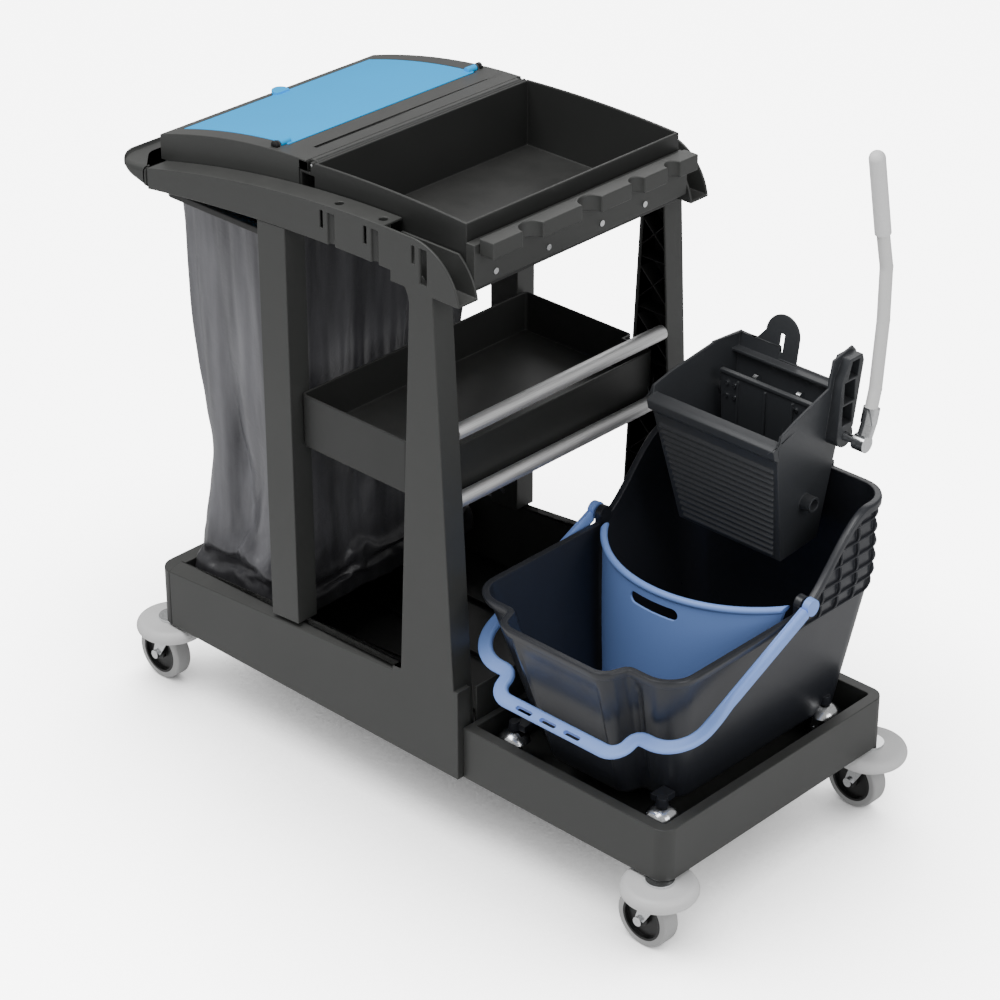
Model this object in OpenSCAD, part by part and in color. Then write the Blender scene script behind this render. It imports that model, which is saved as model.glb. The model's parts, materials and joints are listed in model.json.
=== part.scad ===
// Housekeeping cart: moulded body with bag end, two trays and a wheeled mop bucket with press wringer.
// Millimetres. +Z up, +X from the waste bag end towards the bucket end, -Y the side the bucket pours to.

/* [Body] */
// Length of the base, bag end to front posts
base_len = 725; // [640:1:880]
// Width over the side panels
body_w = 570; // [475:1:690]
// Height of the beam's crown above the deck
crown_rise = 928; // [880:1:1000]
// Depth of the posts and beams, across the cart
post_depth = 43; // [38:0.5:50]
// Moulded wall thickness of the body
wall = 4.5; // [3.5:0.5:6]
// Height of the skirt above the deck at the bag end
skirt_low = 108; // [90:1:130]
// Height of the skirt above the deck at the front posts
skirt_high = 157; // [140:1:180]

/* [Bag end] */
// Length of the bag bay, from the cart's bag end to the rear posts
bay_len = 300; // [280:1:330]
// Width of the rear posts, along the cart
rear_post_w = 63; // [50:1:75]
// Length of the lid frame
lid_len = 360.5; // [355:0.5:366]
// Length of the flap in the lid
flap_len = 249; // [220:1:255]
// Width of the flap in the lid
flap_w = 418; // [340:1:420]

/* [Trays] */
// Height of the upper tray's rim above the deck
tray_rim_rise = 957; // [945:1:970]
// Inside depth of the upper tray
tray_depth = 112; // [90:1:120]
// Height of the middle tray's rim above the deck
shelf_rim_rise = 561; // [500:1:600]
// Overall height of the middle tray
shelf_h = 93; // [70:1:110]
// Diameter of the cross bars
bar_d = 25; // [18:1:30]

/* [Platform and castors] */
// Length of the bucket platform
platform_len = 428; // [420:1:520]
// Height of the platform's rim above the deck
platform_h = 95; // [60:1:110]
// Diameter of the cart's wheels
castor_d = 100; // [75:1:125]
// Width of the cart's wheels
castor_w = 32; // [24:1:36]
// Trail of the castors
trail = 22; // [18:1:26]
// Diameter of the corner buffer discs
buffer_d = 125; // [110:1:150]

/* [Bucket] */
// Half width of the bucket at its rim, along the cart
rim_half = 205; // [170:1:208]
// Half width of the bucket at its bottom
foot_half = 152; // [130:1:160]
// Height of the front rim above the bucket's bottom
rim_rise = 275; // [230:1:320]
// Extra height of the back rim
back_rise = 126; // [100:1:150]
// Bucket wall thickness
bucket_wall = 4; // [3:0.5:5]
// Diameter of the bucket's wheels
mini_d = 50; // [40:1:52]

/* [Wringer] */
// Half width of the grille at its top
grille_half = 129; // [110:1:140]
// Travel of the press plate
press_travel = 60; // [40:1:64]
// Diameter of the lever's tube
lever_d = 21; // [18:0.5:24]
// Length of the lever from its pivot to the tip
lever_len = 490; // [400:1:560]

/* [Hidden] */
$fn = 48;
eps = 0.5;
fit_gap = 0.05;
rub_gap = 1;

// Heights
castor_rise = 30;
deck_z = castor_d + castor_rise;
crown_z = deck_z + crown_rise;

// Body
half_w = body_w / 2;
base_start = 5;
base_end = base_start + base_len;
base_corner = 32;
skirt_start = base_start + base_corner;
ledge_w = 30;
ledge_lift = 8;
inner_half = half_w - post_depth;
floor_t = 5;
panel_start = 40;
beam_top_r = 2336;
beam_under_r = 3704;
crown_x = base_end - 130;
under_x = base_end - 177;
under_z = crown_z - 68;
nose_r = 100;
nose_x = base_end - 90;
nose_floor = crown_z - 86;
gutter_x = base_end - 150;
gutter_drop = 18;
post_low_w = 125;
post_front_lean = 0.0548;
post_back_lean = 0.0471;
post_back_ref = 200;
window_r = 45;
foot_r = 18;
arch_steps = 24;

// Sockets in the beams: distance back from the base's front end
socket_back = [262, 167];
groove_back = [262, 167, 65];
socket_r = 7;
socket_depth = 40;
socket_inset = 20;
socket_wall = 4;
groove_r = 7.5;
groove_h = 58;
groove_drop = 12;
slot_w = 6;
slot_h = 30;
slot_step = 21;

// Lid: its hinge line runs along the upper tray's bag-side edge
lid_start = 25;
lid_end = lid_start + lid_len;
lid_half = inner_half - rub_gap;
lid_t = 4;
lid_crown_x = lid_end + 4;
lid_crown_z = deck_z + tray_rim_rise + 1;
lid_bow = 0.00042;
lid_cover = 25;
lid_lip = 33;
lid_lip_h = 17;
lid_pin_r = 2;
lid_edge_r = 5;
lid_pin_x = lid_end - lid_edge_r;
lid_pin_z = lid_crown_z - lid_edge_r - 0.5;
lid_pin_len = 14;
flap_start = lid_start + 23;
flap_pivot_x = flap_start + flap_len - 10;
flap_seat = 10;
flap_t = 3;
flap_half = flap_w / 2;
knuckle_r = 6;
knuckle_len = 11;
flap_pin_r = 2.5;
cap_r = 7;
cap_len = 6;
cap_end = flap_half + knuckle_len + 5 + cap_len;

// Trays
tray_start = lid_end + 0.6;
tray_end = base_end - 18;
tray_half = inner_half - 2;
tray_wall = 5;
tray_rim_z = deck_z + tray_rim_rise;
tray_crown = 5;
tray_floor_z = tray_rim_z - tray_depth;
tray_sill_z = lid_crown_z - lid_lip_h - 2;
end_beam_low = crown_z - 71;
rail_out = 30;
rail_h = 27;
rail_top = crown_z + 9;
rail_half = inner_half - 10;
rail_notches = [[-146, 22], [-15, 22], [90, 15], [174, 15]];
shelf_rim_z = deck_z + shelf_rim_rise;
shelf_start = bay_len + rear_post_w + 0.3;
shelf_step = base_end - 124;
shelf_end = base_end - 60;
shelf_wide = half_w - 22;
shelf_narrow = inner_half - 0.2;
shelf_foot = 18;
bar_x = base_end - 44;
bar_rises = [599, 478];

// Platform and castors
platform_half = half_w - 12;
platform_end = base_end + platform_len;
platform_rim = 20;
platform_floor = 17;
base_rim = 12;
platform_r = 25;
castor_x = [base_start + 5, platform_end - 18];
castor_y = half_w - 23;
housing_r = 20;
buffer_t = 26;
buffer_z = castor_d + 12.3;
buffer_well_r = 42;
fork_plate_t = 4;
fork_plate_z = castor_d + 1.5;
fork_plate_r = 27;
king_r = 6;
axle_r = 5;
leg_t = 3;
leg_gap = 2.5;
hub_bore_r = axle_r + fit_gap;
x_low = min(castor_x[0] - trail - castor_d / 2, castor_x[0] - buffer_d / 2);
x_high = castor_x[1] + buffer_d / 2;
mid_x = (x_low + x_high) / 2;

// Bucket: it stands on its own wheels on the platform's floor
bucket_x = base_end + 211;
stand_z = deck_z + platform_floor;
foot_z = stand_z + mini_d + 3;
rim_z = foot_z + rim_rise;
back_z = rim_z + back_rise;
foot_back = platform_half - platform_rim - 13;
foot_front = platform_half - platform_rim - 42;
rim_back = foot_back + 22;
lobe_front = foot_front + 43;
spout_front = lobe_front + 43;
spout_half = 0.55 * rim_half;
lobe_r = 50;
spout_r = 26;
rim_bead = 7;
rim_bead_h = 10;
taper_x = foot_half / rim_half;
taper_y = (foot_front + foot_back) / (spout_front + rim_back);
taper_y0 = (foot_back - taper_y * rim_back) / (1 - taper_y);
rise_front_y = 30;
rise_back_y = 205;
mini_x = foot_half + 4;
mini_y = [-foot_front, foot_back - 50];
mini_w = 18;
mini_trail = 12;
cup_r = 27;
stem_r = 5;
cup_top = stand_z + mini_d + 23;
mini_axle_r = 3;

// Bail: hinged on the bucket's side walls, laid forwards over the front
bail_y = 50;
bail_z = rim_z + 14;
bail_gap = 4;
bail_band = 24;
bail_t = 7;
bail_in = rim_half + rim_bead + bail_gap;
bail_drop = 25;
bail_reach = 385;
bail_lobe = 46;
bail_boss_r = 14;
bail_pin_r = 6;
ear_t = 12;

// Divider
divider_r = 232;
divider_mid_y = -65;
divider_t = 4;
divider_gap = 10;
divider_low = 22;
divider_bead_r = 6;
hand_w = 76;
hand_h = 20;

// Wringer: hung over the bucket's back rim
grille_low_half = 105;
grille_top = [67, foot_z + 524];
grille_low = [121, foot_z + 292];
hopper_back_y = rim_back + 14;
hopper_foot_y = rim_back - 40;
hopper_back_half = grille_half - 13;
hopper_t = 4.5;
louvre_n = 16;
ear_top_z = foot_z + 625;
back_top_z = foot_z + 553;
ear_r = 34;
ear_x = -26;
column_r = 20;
column_out = 25;
shaft_y = rim_back - 33;
shaft_z = foot_z + 486;
shaft_r = 7;
shaft_out = grille_half + 40;
cam_len = 36;
cam_r = 8;
plate_y = shaft_y - 32;
plate_t = 6;
plate_top = foot_z + 538;
plate_h = 180;
plate_half = 92;
plate_low_half = 84;
lever_x = grille_half + 40;
lever_grip_r = 13;
lever_grip_len = 145;

function beam_top(x) = crown_z - pow(x - crown_x, 2) / (2 * beam_top_r);
function beam_under(x) = under_z - pow(x - under_x, 2) / (2 * beam_under_r);
function post_front(z) = base_end - post_front_lean * (z - deck_z);
function post_back(z) = base_end - post_low_w + post_back_lean * (z - deck_z - post_back_ref);
function skirt_z(x) =
  deck_z + skirt_low + (skirt_high - skirt_low) * (x - skirt_start) / (base_end - skirt_start);
function lid_z(x) = lid_crown_z - lid_bow * pow(x - lid_crown_x, 2);
function tray_z(x) =
  tray_rim_z + tray_crown * (1 - pow((2 * x - tray_start - tray_end) / (tray_end - tray_start), 2));
function lerp(a, b, f) = a + (b - a) * f;
function bucket_f(z) = (z - foot_z) / rim_rise;
function bucket_half(z) = lerp(foot_half, rim_half, bucket_f(z));
function steps(a, b, n) = [for (i = [0:n]) lerp(a, b, i / n)];
function on_arc(r, a) = [r * cos(a), r * sin(a)];

// ---- shared shapes -------------------------------------------------------------------------

module placed() {
  translate([-mid_x, 0, 0]) children();
}

module far_side() {
  mirror([0, 1, 0]) children();
}

module both_sides() {
  children();
  far_side() children();
}

// A profile drawn in X and Z, solid from y0 to y1
module upright(y0, y1) {
  translate([0, y1, 0]) rotate([90, 0, 0]) linear_extrude(y1 - y0) children();
}

// A profile drawn in Y and Z, solid from x0 to x1
module across(x0, x1) {
  translate([x0, 0, 0]) rotate([90, 0, 90]) linear_extrude(x1 - x0) children();
}

// A block between two corners
module block(low, high) {
  translate(low) cube(high - low);
}

// A round bar along Y
module bar_y(r, y0, y1) {
  translate([0, y1, 0]) rotate([90, 0, 0]) cylinder(r = r, h = y1 - y0);
}

// A round bar along X
module bar_x_axis(r, x0, x1) {
  translate([x0, 0, 0]) rotate([0, 90, 0]) cylinder(r = r, h = x1 - x0);
}

// A plan rectangle with round corners, from x0 to x1, centred on Y
module round_plan(x0, x1, half, r) {
  translate([x0 + r, -half]) square([x1 - x0 - 2 * r, 2 * half]);
  translate([x0, -half + r]) square([x1 - x0, 2 * half - 2 * r]);
  for (x = [x0 + r, x1 - r], y = [-half + r, half - r])
    translate([x, y]) circle(r);
}

// The web that rounds an inner corner, sides s wide and round centre at the origin
module corner_web(r, sx, sy) {
  difference() {
    translate([sx > 0 ? 0 : -r - wall, sy > 0 ? 0 : -r - wall]) square(r + wall);
    circle(r);
  }
}

// ---- body ----------------------------------------------------------------------------------

// Outline of beam, nose and front post, drawn in X and Z and set in by t
module frame_profile(t) {
  tops = [for (x = steps(panel_start, nose_x, arch_steps)) [x, beam_top(x) - t]];
  unders = [for (x = steps(nose_x, panel_start, arch_steps)) [x, beam_under(x) + t]];
  polygon(concat(tops, unders));
  intersection() {
    translate([nose_x, crown_z - nose_r]) circle(nose_r - t);
    translate([nose_x - window_r, nose_floor + t]) square(2 * nose_r);
  }
  post_profile(t);
  corner_x = post_back(under_z - window_r) - window_r;
  translate([corner_x, under_z - window_r]) corner_web(window_r + t, 1, 1);
}

// Outline of the front post alone
module post_profile(t) {
  low = deck_z + skirt_low / 2;
  high = crown_z - nose_r / 2;
  polygon([
    [post_back(low) + t, low], [post_front(low) - t, low],
    [post_front(high) - t, high], [post_back(high) + t, high]
  ]);
}

module skirt_profile(t) {
  polygon([
    [skirt_start, deck_z - t], [base_end, deck_z - t],
    [base_end, skirt_z(base_end) + ledge_lift - t], [skirt_start, skirt_z(skirt_start) + ledge_lift - t]
  ]);
}

module side_panel() {
  y0 = -half_w;
  foot_x = post_back(skirt_z(base_end) + foot_r) - foot_r;
  difference() {
    union() {
      difference() {
        upright(y0, y0 + post_depth) frame_profile(0);
        upright(y0 + wall, y0 + post_depth + eps) frame_profile(wall);
      }
      upright(y0, y0 + ledge_w) skirt_profile(0);
      upright(y0, y0 + wall) translate([foot_x, skirt_z(foot_x) + foot_r]) corner_web(foot_r, 1, -1);
      socket_columns(y0);
      groove_backs(y0);
    }
    // hollow skirt, open below
    upright(y0 + wall, y0 + ledge_w - wall)
      intersection() {
        skirt_profile(wall + ledge_lift);
        translate([skirt_start + wall, 0]) square([base_len - base_corner - 2 * wall, crown_z]);
      }
    // sloping top of the skirt, clear of the post
    translate([skirt_start - eps, y0, skirt_z(skirt_start)])
      rotate([atan(ledge_lift / ledge_w), -atan((skirt_high - skirt_low) / (base_end - skirt_start)), 0])
        translate([-ledge_w, -ledge_w, 0])
          cube([foot_x - skirt_start + ledge_w, 3 * ledge_w, foot_r]);
    // open gutter towards the nose
    block([gutter_x, y0 + wall, under_z + wall], [base_end + nose_r, y0 + post_depth + eps, crown_z + eps]);
    block([post_back(under_z) + wall, y0 + wall, nose_floor + wall],
          [base_end + nose_r, y0 + post_depth + eps, crown_z + eps]);
    sockets(y0);
    grooves(y0);
  }
  // inner wall of the gutter
  upright(y0 + post_depth - wall, y0 + post_depth)
    intersection() {
      frame_profile(0);
      translate([gutter_x, nose_floor]) square([2 * nose_r, end_beam_low + 50 - nose_floor]);
    }
}

module socket_columns(y0) {
  for (back = socket_back)
    translate([base_end - back, y0 + socket_inset, beam_top(base_end - back) - socket_depth - socket_wall])
      cylinder(r = socket_r + socket_wall, h = socket_depth + socket_wall - 1);
}

module sockets(y0) {
  for (back = socket_back)
    translate([base_end - back, y0 + socket_inset, beam_top(base_end - back) - socket_depth])
      cylinder(r = socket_r, h = socket_depth + eps);
}

module groove_backs(y0) {
  intersection() {
    for (back = groove_back)
      translate([base_end - back, y0, groove_low(back) - socket_wall])
        cylinder(r = groove_r + socket_wall, h = groove_h + socket_wall);
    upright(y0, y0 + post_depth) frame_profile(0);
  }
}

module grooves(y0) {
  for (back = groove_back) {
    translate([base_end - back, y0, groove_low(back)]) cylinder(r = groove_r, h = groove_h);
    slot_x = base_end - back - slot_step;
    block([slot_x - slot_w / 2, y0 - eps, groove_low(back) + groove_h - slot_h],
          [slot_x + slot_w / 2, y0 + wall + eps, groove_low(back) + groove_h]);
  }
}

function groove_low(back) = beam_top(base_end - back) - groove_drop - groove_h;

module side_panel_near() {
  color("dimgray") placed() side_panel();
}

module side_panel_far() {
  color("dimgray") placed() far_side() side_panel();
}

// Plan of the base's rounded bag end, set in by t
module base_end_plan(t) {
  intersection() {
    round_plan(base_start + t, base_end, half_w - t, max(base_corner - t, 5));
    translate([base_start, -half_w]) square([base_corner, 2 * half_w]);
  }
}

// Floor, rounded bag end with its hollow rim, and front wall
module base_tub() {
  tub_half = half_w - ledge_w;
  rim_top = skirt_z(skirt_start);
  color("dimgray") placed() {
    difference() {
      translate([0, 0, deck_z]) linear_extrude(rim_top - deck_z)
        difference() {
          base_end_plan(0);
          base_end_plan(ledge_w);
        }
      translate([0, 0, deck_z - eps]) linear_extrude(rim_top - deck_z - wall + eps)
        difference() {
          base_end_plan(wall);
          base_end_plan(ledge_w - wall);
        }
    }
    block([base_start + ledge_w - 2, -tub_half, deck_z], [base_end, tub_half, deck_z + floor_t]);
    block([base_end - wall, -inner_half + 0.3, deck_z], [base_end, inner_half - 0.3, deck_z + skirt_high]);
    for (y = [-tub_half / 2, 0, tub_half / 2])
      block([base_start + ledge_w - eps, y - 2, deck_z],
        [base_end - wall + eps, y + 2, deck_z + floor_t + 8]);
  }
}

// Box section post between the skirt and the beam
module rear_post() {
  x1 = bay_len + rear_post_w;
  seat = 0.2;
  difference() {
    upright(-half_w, -half_w + post_depth)
      polygon([
        [bay_len, skirt_z(bay_len) + ledge_lift + seat], [x1, skirt_z(x1) + ledge_lift + seat],
        [x1, beam_under(x1) - seat], [bay_len, beam_under(bay_len) - seat]
      ]);
    block([bay_len + wall, -half_w + wall, deck_z + skirt_high],
          [x1 - wall, -half_w + post_depth - wall, beam_under(bay_len) - wall]);
  }
}

module rear_post_near() {
  color("dimgray") placed() rear_post();
}

module rear_post_far() {
  color("dimgray") placed() far_side() rear_post();
}

// Black crossed ribs that fill the open inner face of the front post
module post_liner() {
  low = skirt_z(base_end) + ledge_lift + 6;
  high = under_z - window_r - 6;
  cells = 7;
  pitch = (high - low) / cells;
  lean = atan(pitch / (post_low_w - 2 * window_r / 3));
  inset = wall + 0.4;
  y0 = -half_w + inset;
  module slice() {
    intersection() {
      post_profile(inset);
      translate([0, low]) square([base_end, high - low]);
    }
  }
  upright(y0, y0 + 2) slice();
  upright(y0, -inner_half - 4)
    intersection() {
      slice();
      union() {
        for (i = [0:cells - 1], side = [-1, 1])
          translate([(post_back(low + pitch * i) + post_front(low + pitch * i)) / 2, low + pitch * (i + 0.5)])
            rotate(side * lean) square([2 * post_low_w, 2.5], center = true);
        for (i = [0:cells])
          translate([base_end - post_low_w, low + pitch * i - 1.25]) square([post_low_w, 2.5]);
      }
    }
}

module post_liner_near() {
  color([0.08, 0.08, 0.08]) placed() post_liner();
}

module post_liner_far() {
  color([0.08, 0.08, 0.08]) placed() far_side() post_liner();
}

// Push bar across the bag end, turned into both beams
module push_handle() {
  bar_out = 45;
  bar_in = 5;
  color("dimgray") placed()
    translate([0, 0, beam_under(panel_start)])
      linear_extrude(beam_top(panel_start) - beam_under(panel_start))
        difference() {
          intersection() {
            round_plan(-bar_out, 2 * panel_start, half_w, 46);
            translate([-bar_out, -half_w]) square([bar_out + panel_start, body_w]);
          }
          round_plan(-bar_in, 3 * panel_start, inner_half, 22);
        }
}

// Ring between the beams that the waste bag hangs from
module bag_rim() {
  rim_z0 = deck_z + 796;
  color([0.12, 0.12, 0.12]) placed()
    translate([0, 0, rim_z0]) linear_extrude(12)
      difference() {
        round_plan(lid_start + 1, bay_len - 4, inner_half - 0.3, 20);
        round_plan(lid_start + 13, bay_len - 16, inner_half - 15, 12);
      }
}

// Waste bag as a thin open shell: straight at the top, drawn in at the waist, full at the bottom
module waste_bag() {
  top_z = deck_z + 795;
  mid_z = deck_z + 330;
  low_z = deck_z + 102;
  skin = 3;
  module ring(z, x0, x1, half, t) {
    translate([0, 0, z]) linear_extrude(1) round_plan(x0 + t, x1 - t, half - t, 18);
  }
  module form(t) {
    hull($fn = 32) {
      ring(top_z - 1 + t, 34, bay_len - 16, inner_half - 17, t);
      ring(mid_z, 52, bay_len - 20, inner_half - 32, t);
    }
    hull($fn = 32) {
      ring(mid_z, 52, bay_len - 20, inner_half - 32, t);
      ring(low_z + t, 36, bay_len - 8, inner_half - 14, t);
    }
  }
  color([0.4, 0.4, 0.43]) placed()
    difference() {
      form(0);
      form(skin);
    }
}

module cross_bar(rise) {
  color("silver") placed()
    translate([bar_x, 0, deck_z + rise])
      difference() {
        bar_y(bar_d / 2, -inner_half, inner_half);
        bar_y(bar_d / 2 - 2, -inner_half - eps, inner_half + eps);
      }
}

module cross_bar_upper() {
  cross_bar(bar_rises[0]);
}

module cross_bar_lower() {
  cross_bar(bar_rises[1]);
}

// Plan of the middle tray: wide between the posts, narrow past the front posts
module shelf_plan(t) {
  round_plan(shelf_start + t, shelf_step - t, shelf_wide - t, 10 - t);
  round_plan(shelf_step - 30 + t, shelf_end - t, shelf_narrow - t, 10 - t);
}

module middle_tray() {
  low = shelf_rim_z - shelf_h;
  color([0.16, 0.16, 0.16]) placed()
    difference() {
      translate([0, 0, low]) linear_extrude(shelf_h) shelf_plan(0);
      translate([0, 0, low + shelf_foot + wall]) linear_extrude(shelf_h) shelf_plan(wall);
      translate([0, 0, low - eps]) linear_extrude(shelf_foot + eps) shelf_plan(wall);
    }
}

// Deep tray with crowned side rims, a sill under the lid's lip and two hinge ears
module upper_tray() {
  low = tray_floor_z - tray_wall;
  sill_low = tray_sill_z - 70;
  sill_start = lid_end - lid_lip + 1;
  color([0.16, 0.16, 0.16]) placed()
    difference() {
      union() {
        difference() {
          upright(-tray_half, tray_half)
            polygon(concat([[tray_end, low], [tray_start, low]],
                           [for (x = steps(tray_start, tray_end, arch_steps)) [x, tray_z(x)]]));
          block([tray_start + tray_wall, -tray_half + tray_wall, tray_floor_z],
                [tray_end - tray_wall, tray_half - tray_wall, tray_rim_z + 3 * tray_crown]);
        }
        block([sill_start, -tray_half, tray_sill_z - wall], [tray_start + eps, tray_half, tray_sill_z]);
        block([sill_start, -tray_half, sill_low], [sill_start + wall, tray_half, tray_sill_z]);
        both_sides() {
          block([lid_pin_x - 4, -tray_half, tray_sill_z - eps],
                [tray_start + eps, -tray_half + 9, lid_pin_z]);
          translate([lid_pin_x, 0, lid_pin_z]) bar_y(lid_edge_r - 0.5, -tray_half, -tray_half + 9);
        }
      }
      both_sides()
        translate([lid_pin_x, 0, lid_pin_z])
          bar_y(lid_pin_r + fit_gap, -tray_half - eps, -tray_half + 9 + eps);
    }
}

// Cross member closing the front between the two gutters
module end_beam() {
  color("dimgray") placed()
    difference() {
      block([tray_end + 0.2, -inner_half + 0.2, end_beam_low],
        [base_end, inner_half - 0.2, rail_top - rail_h / 3]);
      block([tray_end - eps, -inner_half + wall, end_beam_low - eps],
            [base_end - wall, inner_half - wall, rail_top - rail_h / 3 - wall]);
    }
}

// Rail with half-round notches for tool handles
module tool_rail() {
  color("dimgray") placed()
    difference() {
      block([base_end, -rail_half, rail_top - rail_h], [base_end + rail_out, rail_half, rail_top]);
      for (notch = rail_notches)
        translate([base_end + rail_out - 1, notch[0] * inner_half / 242, rail_top - rail_h - eps])
          cylinder(r = notch[1], h = rail_h + 2 * eps);
    }
}

// ---- platform and castors ------------------------------------------------------------------

// Plan of the platform set in by t: square against the base, round at the far corners
// Plan of the platform, set in by t on three sides and by t_base towards the base
module platform_plan(t, t_base) {
  r = max(platform_r - t, 6);
  intersection() {
    round_plan(base_end - platform_r + t, platform_end - t, platform_half - t, r);
    translate([base_end + t_base, -half_w]) square([platform_len, 2 * half_w]);
  }
}

module platform() {
  skin = 4;
  color("dimgray") placed()
    union() {
      translate([0, 0, deck_z])
        difference() {
          linear_extrude(platform_h)
            difference() {
              platform_plan(0, 0);
              platform_plan(platform_rim, base_rim);
            }
          translate([0, 0, -eps]) linear_extrude(platform_h - skin + eps)
            difference() {
              platform_plan(skin, skin);
              platform_plan(platform_rim - skin, base_rim - skin);
            }
        }
      translate([0, 0, stand_z - skin]) linear_extrude(skin)
        platform_plan(platform_rim - skin / 2, base_rim - skin / 2);
    }
}

// Swivel housing and arm plate of one castor, drawn about its swivel axis for the near rear corner
module castor_mount(toward) {
  top = deck_z;
  low = fork_plate_z + fork_plate_t + 0.5;
  difference() {
    union() {
      translate([0, 0, low]) cylinder(r = housing_r, h = top - low);
      translate([0, 0, top - fork_plate_t]) cylinder(r = housing_r + 3, h = fork_plate_t);
      translate([0, 0, top - fork_plate_t]) linear_extrude(fork_plate_t)
        rotate(toward) translate([0, -housing_r]) square([70, 2 * housing_r]);
    }
    translate([0, 0, low - eps]) cylinder(r = king_r + fit_gap, h = 16 + eps);
  }
}

module castor_mounts() {
  color("silver") placed()
    for (i = [0, 1])
      both_sides()
        translate([castor_x[i], -castor_y, 0]) castor_mount(i == 0 ? 40 : 140);
}

// Grey disc that rolls round the swivel housing
module buffer_disc(x, side) {
  r = buffer_t / 2;
  color([0.8, 0.8, 0.8]) placed()
    translate([x, side * castor_y, buffer_z])
      rotate_extrude()
        difference() {
          union() {
            translate([housing_r + fit_gap, -r]) square([buffer_d / 2 - r - housing_r - fit_gap, buffer_t]);
            translate([buffer_d / 2 - r, 0]) circle(r);
          }
          translate([0, -r - eps]) square([buffer_well_r, fork_plate_t + 6 + eps]);
        }
}

module buffer_rear_near() { buffer_disc(castor_x[0], -1); }
module buffer_rear_far() { buffer_disc(castor_x[0], 1); }
module buffer_front_near() { buffer_disc(castor_x[1], -1); }
module buffer_front_far() { buffer_disc(castor_x[1], 1); }

// Pressed steel fork with kingpin, and the axle as a second solid
module castor_fork(x, side) {
  leg_in = castor_w / 2 + leg_gap;
  axle_z = castor_d / 2;
  color("silver") placed()
    translate([x, side * castor_y, 0]) {
      difference() {
        union() {
          translate([0, 0, fork_plate_z]) cylinder(r = fork_plate_r, h = fork_plate_t);
          translate([0, 0, fork_plate_z]) cylinder(r = king_r, h = fork_plate_t + 14);
          both_sides()
            upright(-leg_in - leg_t, -leg_in)
              polygon([
                [-16, fork_plate_z + 1], [16, fork_plate_z + 1], [10, fork_plate_z - 14],
                [-trail + 9, axle_z], [-trail, axle_z - 10], [-trail - 9, axle_z], [-20, fork_plate_z - 14]
              ]);
        }
        translate([-trail, 0, axle_z]) bar_y(axle_r + fit_gap, -castor_w, castor_w);
      }
      translate([-trail, 0, axle_z]) {
        bar_y(axle_r, -leg_in - leg_t - 3, leg_in + leg_t + 3);
        both_sides() bar_y(axle_r + 3, -leg_in - leg_t - 5, -leg_in - leg_t - fit_gap);
      }
    }
}

module castor_fork_rear_near() { castor_fork(castor_x[0], -1); }
module castor_fork_rear_far() { castor_fork(castor_x[0], 1); }
module castor_fork_front_near() { castor_fork(castor_x[1], -1); }
module castor_fork_front_far() { castor_fork(castor_x[1], 1); }

module at_wheel(x, side) {
  placed() translate([x - trail, side * castor_y, castor_d / 2]) rotate([90, 0, 0]) children();
}

tread_t = 12;

// Rounded grey tread
module castor_tyre(x, side) {
  r = castor_d / 2;
  edge = 5;
  color([0.7, 0.7, 0.7]) at_wheel(x, side)
    rotate_extrude()
      difference() {
        union() {
          translate([r - tread_t, -castor_w / 2]) square([tread_t - edge, castor_w]);
          translate([r - tread_t, -castor_w / 2 + edge]) square([tread_t, castor_w - 2 * edge]);
          for (y = [-1, 1]) translate([r - edge, y * (castor_w / 2 - edge)]) circle(edge);
        }
        translate([0, -castor_w]) square([r - tread_t, 2 * castor_w]);
      }
}

module castor_tyre_rear_near() { castor_tyre(castor_x[0], -1); }
module castor_tyre_rear_far() { castor_tyre(castor_x[0], 1); }
module castor_tyre_front_near() { castor_tyre(castor_x[1], -1); }
module castor_tyre_front_far() { castor_tyre(castor_x[1], 1); }

// Black hub with dished faces, running on the axle
module castor_hub(x, side) {
  r = castor_d / 2 - tread_t;
  color([0.1, 0.1, 0.1]) at_wheel(x, side)
    rotate_extrude()
      difference() {
        translate([hub_bore_r, -castor_w / 2]) square([r - hub_bore_r, castor_w]);
        for (y = [-1, 1])
          translate([hub_bore_r + 7, y * castor_w / 2 - 7]) square([r - hub_bore_r - 11, 14]);
      }
}

module castor_hub_rear_near() { castor_hub(castor_x[0], -1); }
module castor_hub_rear_far() { castor_hub(castor_x[0], 1); }
module castor_hub_front_near() { castor_hub(castor_x[1], -1); }
module castor_hub_front_far() { castor_hub(castor_x[1], 1); }

// Screw heads that hold the tool rail, the end beam and the handle
module frame_screws() {
  module head() {
    cylinder(r = 5, h = 2.5);
  }
  color("silver") placed() {
    for (y = [-0.85, -0.35, 0.17, 0.6])
      translate([base_end, y * rail_half, end_beam_low + 16]) rotate([0, 90, 0]) head();
    both_sides()
      for (x = [bay_len + rear_post_w / 2])
        for (z = [skirt_z(x) + 40, beam_under(x) - 40])
          translate([x, -inner_half, z]) rotate([-90, 0, 0]) head();
  }
}

// ---- lid -----------------------------------------------------------------------------------

// Lid section in X and Z between two depths below the arch
module lid_arch(x0, x1, top, low) {
  polygon(concat([for (x = steps(x0, x1, arch_steps)) [x, lid_z(x) - top]],
                 [for (x = steps(x1, x0, arch_steps)) [x, lid_z(x) - low]]));
}

// Side of the lid: from the arch down behind the beam
module lid_side(x0, x1) {
  polygon(concat([for (x = steps(x0, x1, arch_steps)) [x, lid_z(x)]],
                 [for (x = steps(x1, x0, arch_steps)) [x, beam_top(x) - lid_cover]]));
}

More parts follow.
